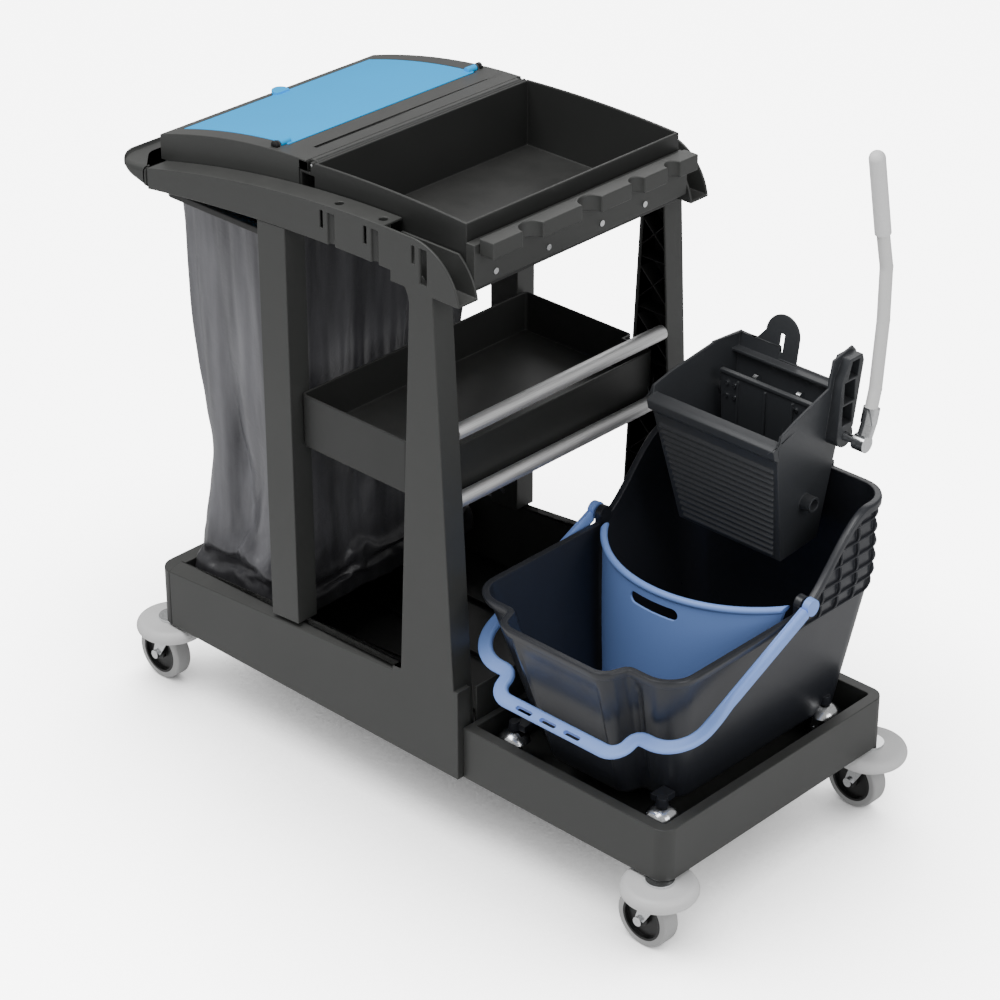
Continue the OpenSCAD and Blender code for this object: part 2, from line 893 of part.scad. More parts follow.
module lid_frame() {
  step_x = lid_end - lid_lip;
  seat_x = flap_pivot_x + 12;
  color("dimgray") placed()
    difference() {
      union() {
        difference() {
          upright(-lid_half, lid_half) lid_side(lid_start, step_x);
          upright(-lid_half + lid_t, lid_half - lid_t)
            polygon(concat([for (x = steps(lid_start + lid_t, step_x - lid_t, arch_steps))
              [x, lid_z(x) - lid_t]],
                           [[step_x - lid_t, deck_z], [lid_start + lid_t, deck_z]]));
        }
        upright(-lid_half, lid_half)
          difference() {
            union() {
              lid_arch(step_x - eps, lid_pin_x, 0, lid_lip_h);
              translate([lid_pin_x, lid_pin_z]) circle(lid_edge_r);
              translate([lid_pin_x - eps, lid_crown_z - lid_lip_h])
                square([lid_edge_r, lid_pin_z - lid_crown_z + lid_lip_h]);
            }
            translate([lid_pin_x - lid_lip + 8, lid_crown_z - lid_lip_h - eps])
              square([lid_lip - 18, lid_lip_h - lid_t]);
          }
        // seat that the flap closes on
        upright(-flap_half - 6, flap_half + 6) lid_arch(flap_start - 5, seat_x + 5, lid_t - eps, lid_t + 4);
        // ears of the flap's pins
        both_sides()
          translate([flap_pivot_x, 0, lid_z(flap_pivot_x) + 2])
            bar_y(knuckle_r, -flap_half - knuckle_len - 5, -flap_half - knuckle_len - 0.5);
      }
      // flap recess and the mouth below it
      upright(-flap_half - 1, flap_half + 1) lid_arch(flap_start - 1, seat_x, -eps, flap_t + 0.6);
      upright(-flap_half + flap_seat, flap_half - flap_seat)
        lid_arch(flap_start + flap_seat, seat_x, -eps, 4 * lid_t);
      block([flap_pivot_x - 6, -flap_half - 1, lid_z(flap_pivot_x) - 16],
            [seat_x, flap_half + 1, lid_z(flap_pivot_x) + 3]);
      both_sides()
        translate([flap_pivot_x, 0, lid_z(flap_pivot_x) + 2]) {
          bar_y(knuckle_r + 1, -flap_half - knuckle_len - 0.5, -flap_half + eps);
          bar_y(flap_pin_r, -lid_half - eps, -flap_half + eps);
          bar_y(cap_r + 0.4, -cap_end - 0.4, cap_len - cap_end);
        }
      // hinge ears of the tray, and the lid's own pins
      both_sides() {
        block([lid_pin_x - 9, -lid_half - eps, lid_crown_z - 2 * lid_lip_h],
              [lid_end + eps, -tray_half + 9.5, lid_crown_z + eps]);
        translate([lid_pin_x, 0, lid_pin_z]) bar_y(lid_pin_r, -tray_half, -tray_half + lid_pin_len + 14);
      }
      // long slot in the top
      block([seat_x + 40, -0.8 * lid_half, lid_crown_z - 6],
        [seat_x + 44, 0.8 * lid_half, lid_crown_z + eps]);
    }
}

module lid_pins() {
  color("silver") placed()
    both_sides()
      translate([lid_pin_x, 0, lid_pin_z]) bar_y(lid_pin_r, -tray_half + 0.5, -tray_half + lid_pin_len + 12);
}

// Blue flap: a thin arched sheet with two knuckles and a finger tab
module lid_flap() {
  z = lid_z(flap_pivot_x) + 2;
  color([0.28, 0.7, 0.9]) placed()
    difference() {
      union() {
        upright(-flap_half, flap_half) lid_arch(flap_start, flap_pivot_x + 9, 0, flap_t);
        both_sides() translate([flap_pivot_x, 0, z])
          bar_y(knuckle_r, -flap_half - knuckle_len, -flap_half + 10);
        difference() {
          translate([flap_start + 4, 0, lid_z(flap_start) - flap_t + 0.5]) cylinder(r = 15, h = 10);
          block([flap_start + 12, -20, deck_z], [flap_start + 40, 20, lid_z(flap_start + 30)]);
          block([flap_start - 20, -20, deck_z], [flap_start, 20, lid_z(flap_start) + 0.8]);
          upright(-20, 20) lid_arch(flap_start - 25, flap_start + 40, flap_t - 0.3, 20);
        }
      }
      both_sides() translate([flap_pivot_x, 0, z])
        bar_y(flap_pin_r + fit_gap, -flap_half - knuckle_len - eps, -flap_half);
    }
}

// Pins with black caps that carry the flap
module flap_pins() {
  color([0.08, 0.08, 0.08]) placed()
    both_sides()
      translate([flap_pivot_x, 0, lid_z(flap_pivot_x) + 2]) {
        bar_y(flap_pin_r, cap_len - cap_end, -flap_half - 1);
        bar_y(cap_r, -cap_end, cap_len - cap_end);
      }
}

// ---- bucket --------------------------------------------------------------------------------

// Rim plan about the bucket's centre, set in by t: body with round corner lobes and a wide spout
module bucket_plan(t) {
  module part(half, y0, y1, r) {
    translate([-half + r, y0]) square([2 * (half - r), y1 - y0]);
    translate([-half, y0 + r]) square([2 * half, y1 - y0 - 2 * r]);
    for (x = [-half + r, half - r], y = [y0 + r, y1 - r]) translate([x, y]) circle(r);
  }
  part(rim_half - t, -lobe_front + t, rim_back - t, lobe_r - t);
  part(spout_half - t, -spout_front + t, 0, spout_r - t);
}

// The same plan drawn about the point that the walls taper to
module tapered_plan(t) {
  translate([0, -taper_y0]) bucket_plan(t);
}

module bucket_form(t, low, high) {
  translate([bucket_x, taper_y0, low])
    linear_extrude(rim_z - low, scale = [1 / taper_x, 1 / taper_y], slices = 1)
      scale([taper_x, taper_y]) tapered_plan(t, $fn = 32);
  translate([bucket_x, 0, rim_z]) linear_extrude(high - rim_z) bucket_plan(t, $fn = 32);
}

// Space above the rim in Y and Z, moved up by lift: low in front, rising in a slope to the back
module rim_profile(lift, y0) {
  y1 = rim_back + 2 * rim_bead;
  polygon([
    [y0, rim_z + lift], [rise_front_y, rim_z + lift],
    for (i = [1:11])
      [lerp(rise_front_y, rise_back_y, i / 12), rim_z + lift + back_rise * (1 - cos(15 * i)) / 2],
    [rise_back_y, back_z + lift], [y1, back_z + lift], [y1, back_z + 3 * rim_bead_h],
    [y0, back_z + 3 * rim_bead_h]
  ]);
}

module bucket_shell() {
  color([0.15, 0.16, 0.18]) placed()
    difference() {
      union() {
        difference() {
          union() {
            bucket_form(0, foot_z, back_z);
            intersection() {
              translate([bucket_x, 0, rim_z - rim_bead_h])
                linear_extrude(back_z - rim_z + rim_bead_h) bucket_plan(-rim_bead);
              across(base_end - 100, platform_end + 100) difference() {
                rim_profile(-rim_bead_h, -2 * half_w);
                rim_profile(rim_bead_h, -3 * half_w);
              }
            }
          }
          difference() {
            bucket_form(bucket_wall, foot_z, back_z + 1);
            block([base_end - 100, -2 * half_w, foot_z - 1],
                  [platform_end + 100, 2 * half_w, foot_z + bucket_wall]);
          }
          across(base_end - 100, platform_end + 100) rim_profile(0, -2 * half_w);
        }
        // castor pads and the pockets over the cups, and the ears that the bail turns in
        for (sx = [-1, 1], y = mini_y)
          translate([bucket_x + sx * mini_x, y, cup_top]) {
            cylinder(r = stem_r + 5, h = 14);
            block([sx > 0 ? -30 : -8, -8, 1], [sx > 0 ? 8 : 30, y < 0 ? 40 : 8, 13]);
          }
        intersection() {
          for (sx = [-1, 1], y = mini_y)
            translate([bucket_x + sx * mini_x, y, foot_z + 0.5])
              cylinder(r = cup_r + 5.5, h = cup_top - foot_z + 4);
          bucket_form(0.4, foot_z, back_z);
        }
        for (sx = [-1, 1])
          across(bucket_x + sx * (rim_half + 0.5) - ear_t / 2, bucket_x + sx * (rim_half + 0.5) + ear_t / 2) {
            translate([bail_y, bail_z]) circle(bail_boss_r);
            translate([bail_y - bail_boss_r, rim_z - rim_bead_h - 8])
              square([2 * bail_boss_r, bail_z - rim_z + rim_bead_h + 8]);
          }
      }
      for (sx = [-1, 1], y = mini_y) translate([bucket_x + sx * mini_x, y, 0]) {
        translate([0, 0, cup_top - 1]) cylinder(r = stem_r, h = 13);
        translate([0, 0, stand_z]) cylinder(r = cup_r + 1.5, h = cup_top - stand_z);
      }
      translate([bucket_x, bail_y, bail_z]) bar_x_axis(bail_pin_r + fit_gap, -half_w, half_w);
    }
}

// Bright cups over the bucket's castors, with their stems
module bucket_castor_cups() {
  z = stand_z + mini_d + 4;
  color("silver") placed()
    for (sx = [-1, 1], y = mini_y)
      translate([bucket_x + sx * mini_x, y, z])
        difference() {
          union() {
            intersection() {
              translate([0, 0, -cup_r * 0.45]) sphere(cup_r * 1.1);
              cylinder(r = cup_r, h = 18.5);
            }
            cylinder(r = stem_r, h = 31);
          }
          translate([0, 0, -eps]) cylinder(r = stem_r - 1, h = 16);
        }
}

module mini_fork(sx, y) {
  leg_in = mini_w / 2 + 1.5;
  axle_z = stand_z + mini_d / 2;
  top = stand_z + mini_d + 1.2;
  color("silver") placed()
    translate([bucket_x + sx * mini_x, y, 0]) {
      difference() {
        union() {
          translate([0, 0, top]) cylinder(r = 15, h = 2.3);
          translate([0, 0, top]) cylinder(r = stem_r - 1 - fit_gap, h = 16);
          both_sides()
            upright(-leg_in - 2, -leg_in)
              polygon([
                [-11, top + 1], [9, top + 1], [-mini_trail + 6, axle_z], [-mini_trail, axle_z - 6],
                [-mini_trail - 6, axle_z]
              ]);
        }
        translate([-mini_trail, 0, axle_z]) bar_y(mini_axle_r + fit_gap, -mini_w, mini_w);
      }
      translate([-mini_trail, 0, axle_z]) bar_y(mini_axle_r, -leg_in - 3.5, leg_in + 3.5);
    }
}

module bucket_fork_left_near() { mini_fork(-1, mini_y[0]); }
module bucket_fork_left_far() { mini_fork(-1, mini_y[1]); }
module bucket_fork_right_near() { mini_fork(1, mini_y[0]); }
module bucket_fork_right_far() { mini_fork(1, mini_y[1]); }

module mini_wheel(sx, y) {
  r = mini_d / 2;
  color([0.12, 0.12, 0.12]) placed()
    translate([bucket_x + sx * mini_x - mini_trail, y, stand_z + r]) rotate([90, 0, 0])
      rotate_extrude()
        difference() {
          union() {
            translate([mini_axle_r + fit_gap, -mini_w / 2])
              square([r - 3 - mini_axle_r - fit_gap, mini_w]);
            translate([r - 4, -mini_w / 2 + 3]) square([4, mini_w - 6]);
            for (s = [-1, 1]) translate([r - 3, s * (mini_w / 2 - 3)]) circle(3);
          }
          for (s = [-1, 1])
            translate([mini_axle_r + 5, s * mini_w / 2 - 4]) square([r - mini_axle_r - 12, 8]);
        }
}

module bucket_wheel_left_near() { mini_wheel(-1, mini_y[0]); }
module bucket_wheel_left_far() { mini_wheel(-1, mini_y[1]); }
module bucket_wheel_right_near() { mini_wheel(1, mini_y[0]); }
module bucket_wheel_right_far() { mini_wheel(1, mini_y[1]); }

// Carrying bail, drawn flat about its hinge line and turned down to its resting angle
module bail_plan(t) {
  module part(half, reach, r) {
    translate([-half + r, -reach]) square([2 * (half - r), reach]);
    translate([-half, -reach + r]) square([2 * half, reach - r]);
    for (x = [-half + r, half - r]) translate([x, -reach + r]) circle(r);
  }
  part(bail_in + bail_band / 2 - t, bail_reach - bail_lobe - t, 70 - t);
  part(spout_half + bail_band + 4 - t, bail_reach - t, 34 - t);
}

module bucket_bail() {
  color([0.5, 0.63, 0.9]) placed()
    translate([bucket_x, bail_y, bail_z]) {
      rotate([bail_drop, 0, 0])
        difference() {
          translate([0, 0, -bail_t / 2]) linear_extrude(bail_t)
            difference() {
              bail_plan(0);
              translate([0, bail_band]) bail_arms();
              bail_inner();
            }
          for (i = [0:2])
            translate([-spout_half + 26 + 44 * i, -bail_reach + 8, -bail_t])
              cube([26, 6, 2 * bail_t]);
        }
      for (sx = [-1, 1])
        bar_x_axis_at(sx);
    }
}

// Space inside the bail: the arms keep clear of the rim, the front keeps the band's width
module bail_inner() {
  intersection() {
    bail_plan(bail_band);
    translate([-bail_in, -bail_reach]) square([2 * bail_in, 2 * bail_reach]);
  }
  translate([-bail_in, -bail_reach + bail_lobe + 70]) square([2 * bail_in, bail_reach]);
}

module bail_arms() {
  translate([-half_w, 0]) square([2 * half_w, 10]);
}

module bar_x_axis_at(sx) {
  x0 = sx > 0 ? bail_in - 0.5 : -bail_in - bail_band / 2 - 0.7;
  bar_x_axis(bail_boss_r, x0, x0 + bail_band / 2 + 1.2);
  p0 = sx > 0 ? rim_half - bucket_wall : -bail_in - 1;
  bar_x_axis(bail_pin_r, p0, p0 + bail_in + 1 - rim_half + bucket_wall);
}

// Curved divider that splits clean from dirty water
module bucket_divider() {
  low = foot_z + divider_low;
  top = rim_z + 2;
  cy = divider_mid_y + divider_r;
  low_half = bucket_half(low) - bucket_wall - divider_gap;
  top_half = rim_half - bucket_wall - divider_gap;
  color([0.5, 0.63, 0.9]) placed()
    translate([bucket_x, 0, 0])
      difference() {
        intersection() {
          translate([0, cy, low])
            union() {
              difference() {
                cylinder(r = divider_r, h = top - low);
                translate([0, 0, -eps]) cylinder(r = divider_r - divider_t, h = top - low + 2 * eps);
              }
              translate([0, 0, top - low])
                rotate_extrude() translate([divider_r - divider_t / 2, 0]) circle(divider_bead_r);
            }
          upright(-half_w, cy - divider_r / 3)
            polygon([[-low_half, low], [low_half, low], [top_half, top + 20], [-top_half, top + 20]]);
        }
        hand_z = top - 30;
        upright(divider_mid_y - 30, divider_mid_y + 30) {
          translate([-hand_w / 2, hand_z - hand_h / 2]) square([hand_w, hand_h]);
          for (s = [-1, 1]) translate([s * hand_w / 2, hand_z]) circle(hand_h / 2);
        }
      }
}

// ---- wringer -------------------------------------------------------------------------------

module at_bucket() {
  placed() translate([bucket_x, 0, 0]) children();
}

// Top outline of the wringer's walls in Y and Z, closed well below and beyond them
module hopper_outline() {
  y0 = grille_top[0];
  back = hopper_back_y;
  low = grille_low[1] - 50;
  polygon([
    [y0 - 100, low], [y0 - 100, grille_top[1]], [y0 + 5, grille_top[1]], [y0 + 8, grille_top[1] + 16],
    [y0 + 47, grille_top[1] + 28], [back - 72, back_top_z + 18], [back - 68, ear_top_z - 6],
    [back - 14, ear_top_z], [back + 30, ear_top_z - 44], [back + 30, low]
  ]);
}

// Half width of the hopper where the plane of its walls has a given Y and Z
function hopper_f(z) = (z - grille_low[1]) / (grille_top[1] - grille_low[1]);
function hopper_front_y(z) = lerp(grille_low[0], grille_top[0], hopper_f(z));
function hopper_front_half(z) = lerp(grille_low_half, grille_half, hopper_f(z));
function hopper_back_wall_y(z)
  = lerp(hopper_foot_y, hopper_back_y, (z - grille_low[1]) / (ear_top_z - grille_low[1]));
function hopper_rear_half(z)
  = lerp(grille_low_half - 8, hopper_back_half, (z - grille_low[1]) / (ear_top_z - grille_low[1]));
function hopper_half(y, z) =
  lerp(hopper_front_half(z), hopper_rear_half(z),
       (y - hopper_front_y(z)) / (hopper_back_wall_y(z) - hopper_front_y(z)));

// Solid between two trapezoids, set in by t: wide at the front top, narrow at the back and below
module hopper_block(t, top, low) {
  module slice(z) {
    a = hopper_front_half(z) - t;
    b = hopper_rear_half(z) - t;
    front = hopper_front_y(z) + t;
    back = hopper_back_wall_y(z) - t;
    translate([0, 0, z]) linear_extrude(0.1) polygon([[-a, front], [a, front], [b, back], [-b, back]]);
  }
  hull() {
    slice(top);
    slice(low);
  }
}

module wringer_hopper() {
  lean = atan((grille_low[0] - grille_top[0]) / (grille_top[1] - grille_low[1]));
  grille_h = (grille_top[1] - grille_low[1]) / cos(lean);
  pitch = (grille_h - 52) / louvre_n;
  spout_y = (grille_top[0] + hopper_back_y) / 2 - 4;
  spout_z = foot_z + 385;
  spout_x = hopper_half(spout_y, spout_z);
  side_x = hopper_half(shaft_y, shaft_z);
  floor_z = grille_low[1];
  color([0.16, 0.17, 0.18]) at_bucket()
    difference() {
      union() {
        // walls and floor
        difference() {
          intersection() {
            difference() {
              hopper_block(0, ear_top_z, floor_z);
              hopper_block(hopper_t, ear_top_z + 1, floor_z + 4);
            }
            union() {
              across(-1, half_w) hopper_outline();
              across(-half_w, 1)
                intersection() {
                  hopper_outline();
                  square([2 * half_w, back_top_z + 20]);
                }
            }
          }
          block([ear_x, hopper_back_y - 50, back_top_z],
            [hopper_back_half - 12, hopper_back_y + 20, ear_top_z + 20]);
          for (x = [-4:4])
            block([x * 20 - 5, grille_low[0] + 12, floor_z - 1],
              [x * 20 + 5, hopper_foot_y - 12, floor_z + 3 * hopper_t]);
        }
        left_ear();
        // louvres and top bar on the leaning front
        translate([0, grille_low[0], grille_low[1]]) rotate([lean, 0, 0]) {
          for (i = [0:louvre_n - 1])
            translate([0, 0, 8 + pitch * i])
              across(-lerp(grille_low_half, grille_half, i / louvre_n) + 12,
                     lerp(grille_low_half, grille_half, i / louvre_n) - 12)
                polygon([[1, 0], [-4, 1], [-4, pitch * 0.35], [1, pitch * 0.75]]);
          translate([0, 0, grille_h - 30])
            across(-grille_half + 0.4, grille_half - 0.4)
              polygon([[1, 0], [-8, 10], [-8, 26], [0, 30.5], [14, 30.5], [14, 27], [4, 24]]);
        }
        ledge_y = hopper_back_wall_y(back_top_z);
        block([-hopper_back_half + 6, ledge_y - 20, back_top_z - 8],
              [hopper_back_half - 6, ledge_y - 3, back_top_z - 3]);
        // hooks over the bucket's back rim
        for (sx = [-1, 1])
          translate([sx * 70 - 15, 0, 0]) {
            block([0, hopper_back_wall_y(back_z) - 2, back_z + 1], [30, rim_back + rim_bead + 5, back_z + 6]);
            block([0, rim_back + rim_bead + 1, back_z - 24], [30, rim_back + rim_bead + 5, back_z + 5]);
          }
        // bosses round the shaft, with a ribbed column over the lever's one
        translate([-side_x - 4, shaft_y, shaft_z]) bar_x_axis(shaft_r + 7, -8, 8);
        translate([side_x, shaft_y, shaft_z]) bar_x_axis(column_r, -3, column_out);
        across(side_x - 3, side_x + column_out)
          polygon([
            [shaft_y - column_r, shaft_z], [shaft_y - column_r + 6, ear_top_z - 40],
              [shaft_y + 4, ear_top_z - 8],
            [hopper_back_y - 12, ear_top_z - 8], [hopper_back_y - 8, ear_top_z - 20],
            [shaft_y + column_r, shaft_z + 10]
          ]);
        translate([spout_x, spout_y, spout_z]) bar_x_axis(13, -2, 22);
      }
      // pockets between the column's ribs
      across(side_x + 4, side_x + column_out + 1) {
        polygon([[shaft_y + 1, ear_top_z - 42], [shaft_y + 10, ear_top_z - 14],
          [shaft_y + 28, ear_top_z - 14],
                 [shaft_y + 24, ear_top_z - 42]]);
        translate([shaft_y - 7, ear_top_z - 82]) square([26, 36]);
        translate([shaft_y - 9, shaft_z + 20]) square([24, 33]);
      }
      translate([spout_x + 5, spout_y, spout_z]) bar_x_axis(9, 0, 30);
      translate([0, shaft_y, shaft_z]) bar_x_axis(shaft_r + fit_gap, -half_w, half_w);
    }
}

// Slotted ear that stands on the leaning back wall
module left_ear() {
  lean = -atan((hopper_back_y - hopper_foot_y) / (ear_top_z - grille_low[1]));
  base = (back_top_z - grille_low[1]) / cos(lean) - 20;
  top = (ear_top_z - grille_low[1]) / cos(lean);
  left = ear_x - ear_r - 50;
  translate([0, hopper_foot_y - 0.4, grille_low[1]]) rotate([lean, 0, 0])
    rotate([90, 0, 0]) linear_extrude(hopper_t - 0.8)
      difference() {
        union() {
          polygon([
            [left, base], [left, base + 42], [left + 30, base + 35], [ear_x - ear_r, top - ear_r],
            [ear_x + ear_r, top - ear_r], [ear_x + ear_r, base]
          ]);
          translate([ear_x, top - ear_r]) circle(ear_r);
        }
        translate([ear_x - 4, top - 62]) square([8, 30]);
      }
}

// Plate that is pushed towards the grille
module press_plate() {
  color([0.13, 0.13, 0.14]) at_bucket()
    translate([0, plate_y, plate_top - plate_h]) {
      translate([0, plate_t, 0]) rotate([90, 0, 0]) linear_extrude(plate_t)
        polygon([[-plate_low_half, 0], [plate_low_half, 0], [plate_half, plate_h], [-plate_half, plate_h]]);
      for (x = [-0.6, 0, 0.6])
        block([x * plate_half - 2, -3, 12], [x * plate_half + 2, 0.1, plate_h - 12]);
      block([-plate_half, -3, plate_h - 6], [plate_half, 0.1, plate_h]);
    }
}

module press_bolts() {
  color("silver") at_bucket()
    for (sx = [-1, 1], x = [plate_half - 30, plate_half - 14], z = [22, 44])
      translate([sx * x, plate_y, plate_top - z]) rotate([90, 0, 0]) cylinder(r = 3.5, h = 2.5);
}

// Shaft through both walls, with two cams and the crank at the lever end
module lever_shaft() {
  color("silver") at_bucket()
    translate([0, shaft_y, shaft_z]) {
      bar_x_axis(shaft_r, -hopper_back_half - 12, lever_x - 12);
      for (x = [-48, 40])
        across(x, x + 8) {
          circle(cam_r + 4);
          translate([-cam_r, 0]) square([2 * cam_r, cam_len]);
          translate([0, cam_len]) circle(cam_r);
        }
    }
}

function lever_path() = [[0, 0], [12, 26], [26, 85], [35, 200], [34, 290], [20, 350]];

// Round tube through a list of Y, Z points in the lever's plane
module lever_run(points, r) {
  for (i = [0:len(points) - 2]) {
    d = points[i + 1] - points[i];
    translate([0, points[i][0], points[i][1]])
      rotate([-atan2(d[0], d[1]), 0, 0]) cylinder(r = r, h = norm(d));
    if (i > 0) translate([0, points[i][0], points[i][1]]) sphere(r + 0.3);
  }
}

module at_lever() {
  at_bucket() translate([lever_x, shaft_y, shaft_z]) children();
}

module lever_tube() {
  color([0.85, 0.85, 0.85]) at_lever()
    difference() {
      lever_run(lever_path(), lever_d / 2);
      block([-lever_d, -40, -40], [lever_d, 40, 30]);
    }
}

// Bright crank on the shaft's end, and the clamp round the tube
module lever_clamp() {
  color("silver") at_lever() {
    difference() {
      union() {
        bar_x_axis(14, -12, 10);
        translate([0, 6, 10]) rotate([-25, 0, 0]) cylinder(r = lever_d / 2 + 2, h = 20);
        translate([0, 14, 29.5]) rotate([-13.5, 0, 0]) cylinder(r = lever_d / 2 + 3, h = 26);
      }
      lever_run([for (i = [1:3]) lever_path()[i]], lever_d / 2);
      translate([-lever_d / 2 - 4, 6, 30]) cube([lever_d + 8, 1.5, 30]);
    }
  }
}

module lever_grip() {
  start = lever_path()[5];
  top = [start[0] - 28, start[1] + lever_grip_len - 8];
  run = top - start;
  color([0.9, 0.9, 0.9]) at_lever()
    translate([0, start[0], start[1]]) rotate([-atan2(run[0], run[1]), 0, 0]) {
      translate([0, 0, 0.1]) cylinder(r = lever_grip_r, h = lever_grip_len - lever_grip_r);
      translate([0, 0, lever_grip_len - lever_grip_r]) sphere(lever_grip_r);
    }
}

// ---- nodes ---------------------------------------------------------------------------------

base_tub();
side_panel_near();
side_panel_far();
rear_post_near();
rear_post_far();
post_liner_near();
post_liner_far();
push_handle();
bag_rim();
waste_bag();
cross_bar_upper();
cross_bar_lower();
middle_tray();
upper_tray();
end_beam();
tool_rail();
platform();
castor_mounts();
frame_screws();
lid_frame();
lid_pins();
flap_pins();
lid_flap();
buffer_rear_near();
buffer_rear_far();
buffer_front_near();
buffer_front_far();
castor_fork_rear_near();
castor_fork_rear_far();
castor_fork_front_near();
castor_fork_front_far();
castor_tyre_rear_near();
castor_tyre_rear_far();
castor_tyre_front_near();
castor_tyre_front_far();
castor_hub_rear_near();
castor_hub_rear_far();
castor_hub_front_near();
castor_hub_front_far();
bucket_shell();
bucket_castor_cups();
bucket_fork_left_near();
bucket_fork_left_far();
bucket_fork_right_near();
bucket_fork_right_far();
bucket_wheel_left_near();
bucket_wheel_left_far();
bucket_wheel_right_near();
bucket_wheel_right_far();
bucket_bail();
bucket_divider();
wringer_hopper();
press_plate();
press_bolts();
lever_shaft();
lever_tube();
lever_clamp();
lever_grip();
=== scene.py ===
import json
import math

import bmesh
import bpy
from mathutils import Matrix, Vector, noise


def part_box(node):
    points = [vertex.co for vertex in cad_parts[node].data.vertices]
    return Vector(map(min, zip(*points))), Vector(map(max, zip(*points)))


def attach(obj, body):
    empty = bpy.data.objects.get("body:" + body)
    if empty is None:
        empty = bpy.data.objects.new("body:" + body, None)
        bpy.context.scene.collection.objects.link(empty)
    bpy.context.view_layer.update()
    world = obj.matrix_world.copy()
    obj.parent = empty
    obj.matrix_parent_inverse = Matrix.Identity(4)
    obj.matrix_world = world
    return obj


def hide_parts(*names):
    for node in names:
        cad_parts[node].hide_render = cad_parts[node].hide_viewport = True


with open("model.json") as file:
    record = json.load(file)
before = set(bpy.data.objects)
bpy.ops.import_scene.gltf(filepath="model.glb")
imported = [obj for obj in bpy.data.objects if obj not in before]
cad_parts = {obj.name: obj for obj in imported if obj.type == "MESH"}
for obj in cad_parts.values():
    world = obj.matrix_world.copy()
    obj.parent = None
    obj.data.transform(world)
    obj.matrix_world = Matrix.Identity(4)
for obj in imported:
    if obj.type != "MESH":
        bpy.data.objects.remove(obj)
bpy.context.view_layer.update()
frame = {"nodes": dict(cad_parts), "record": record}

# ---- View, floor and light -----------------------------------------------------------------
# A long lens looks down on the cart from its bucket end, over a plain pale floor that fades
# into a white room. One wide softbox over the near side and two weaker ones light it.

camera_data = bpy.data.cameras.new("camera")
camera_data.lens = 114.4
camera_data.sensor_width = 36
camera = bpy.data.objects.new("camera", camera_data)
camera.location = (3.1268, -3.310, 3.020)
aim = Vector((0.0078, -0.027, 0.483)) - camera.location
camera.rotation_euler = aim.to_track_quat("-Z", "Y").to_euler()
bpy.context.collection.objects.link(camera)
bpy.context.scene.camera = camera

room = bpy.data.worlds.new("white_room")
room.use_nodes = True
sky = room.node_tree.nodes["Background"]
sky.inputs["Color"].default_value = (1.0, 1.0, 1.0, 1)
seen = room.node_tree.nodes.new("ShaderNodeLightPath")
brighter = room.node_tree.nodes.new("ShaderNodeMapRange")
brighter.inputs["To Min"].default_value = 0.45
brighter.inputs["To Max"].default_value = 9.0
room.node_tree.links.new(seen.outputs["Is Camera Ray"], brighter.inputs["Value"])
room.node_tree.links.new(brighter.outputs["Result"], sky.inputs["Strength"])
bpy.context.scene.world = room


def softbox(name, place, look, size, power):
    light = bpy.data.lights.new(name, "AREA")
    light.shape = "RECTANGLE"
    light.size, light.size_y = size
    light.energy = power
    box = bpy.data.objects.new(name, light)
    box.location = place
    box.rotation_euler = (Vector(look) - Vector(place)).to_track_quat("-Z", "Y").to_euler()
    bpy.context.collection.objects.link(box)


softbox("key_softbox", (-0.4, -1.2, 3.6), (0, 0, 0.5), (2.4, 1.8), 82)
softbox("end_softbox", (3.4, -0.2, 2.4), (0.1, 0, 0.5), (1.8, 1.8), 36)
softbox("back_softbox", (-1.2, 2.8, 2.6), (0, 0, 0.6), (2.0, 1.4), 18)

floor_mesh = bpy.data.meshes.new("floor")
floor_mesh.from_pydata([(-40, -40, 0), (40, -40, 0), (40, 40, 0), (-40, 40, 0)], [], [(0, 1, 2, 3)])
floor = bpy.data.objects.new("floor", floor_mesh)
bpy.context.collection.objects.link(floor)
floor_finish = bpy.data.materials.new("pale_floor")
floor_finish.use_nodes = True
paint = floor_finish.node_tree.nodes["Principled BSDF"]
paint.inputs["Base Color"].default_value = (0.9, 0.9, 0.9, 1)
paint.inputs["Roughness"].default_value = 0.9
paint.inputs["Specular IOR Level"].default_value = 0.1
paint.inputs["Emission Color"].default_value = (1, 1, 1, 1)
# Painted shadow: the floor glows for camera rays only, and ambient occlusion dims that glow near the cart.
lit = floor_finish.node_tree.nodes.new("ShaderNodeLightPath")
painted_contact_shadow = floor_finish.node_tree.nodes.new("ShaderNodeAmbientOcclusion")
painted_contact_shadow.samples = 8
painted_contact_shadow.inputs["Distance"].default_value = 0.7
painted_shadow_falloff = floor_finish.node_tree.nodes.new("ShaderNodeMath")
painted_shadow_falloff.operation = "POWER"
painted_shadow_falloff.inputs[1].default_value = 2.2
glow = floor_finish.node_tree.nodes.new("ShaderNodeMath")
glow.operation = "MULTIPLY"
whole = floor_finish.node_tree.nodes.new("ShaderNodeMath")
whole.operation = "MULTIPLY"
whole.inputs[1].default_value = 6.5
floor_finish.node_tree.links.new(painted_contact_shadow.outputs["AO"], painted_shadow_falloff.inputs[0])
floor_finish.node_tree.links.new(painted_shadow_falloff.outputs[0], glow.inputs[0])
floor_finish.node_tree.links.new(lit.outputs["Is Camera Ray"], glow.inputs[1])
floor_finish.node_tree.links.new(glow.outputs[0], whole.inputs[0])
floor_finish.node_tree.links.new(whole.outputs[0], paint.inputs["Emission Strength"])
floor_mesh.materials.append(floor_finish)

# ---- Body mouldings ------------------------------------------------------------------------
# The base tub, the two side frames, the push handle, the end beam and the rear posts are
# injection moulded in one dark grey polypropylene with a fine spark-eroded grain. They are
# screwed together, and every edge comes from the mould with a small radius.

body_of = {n: b for b, nodes in frame["record"]["behaviour"]["bodies"].items() for n in nodes}


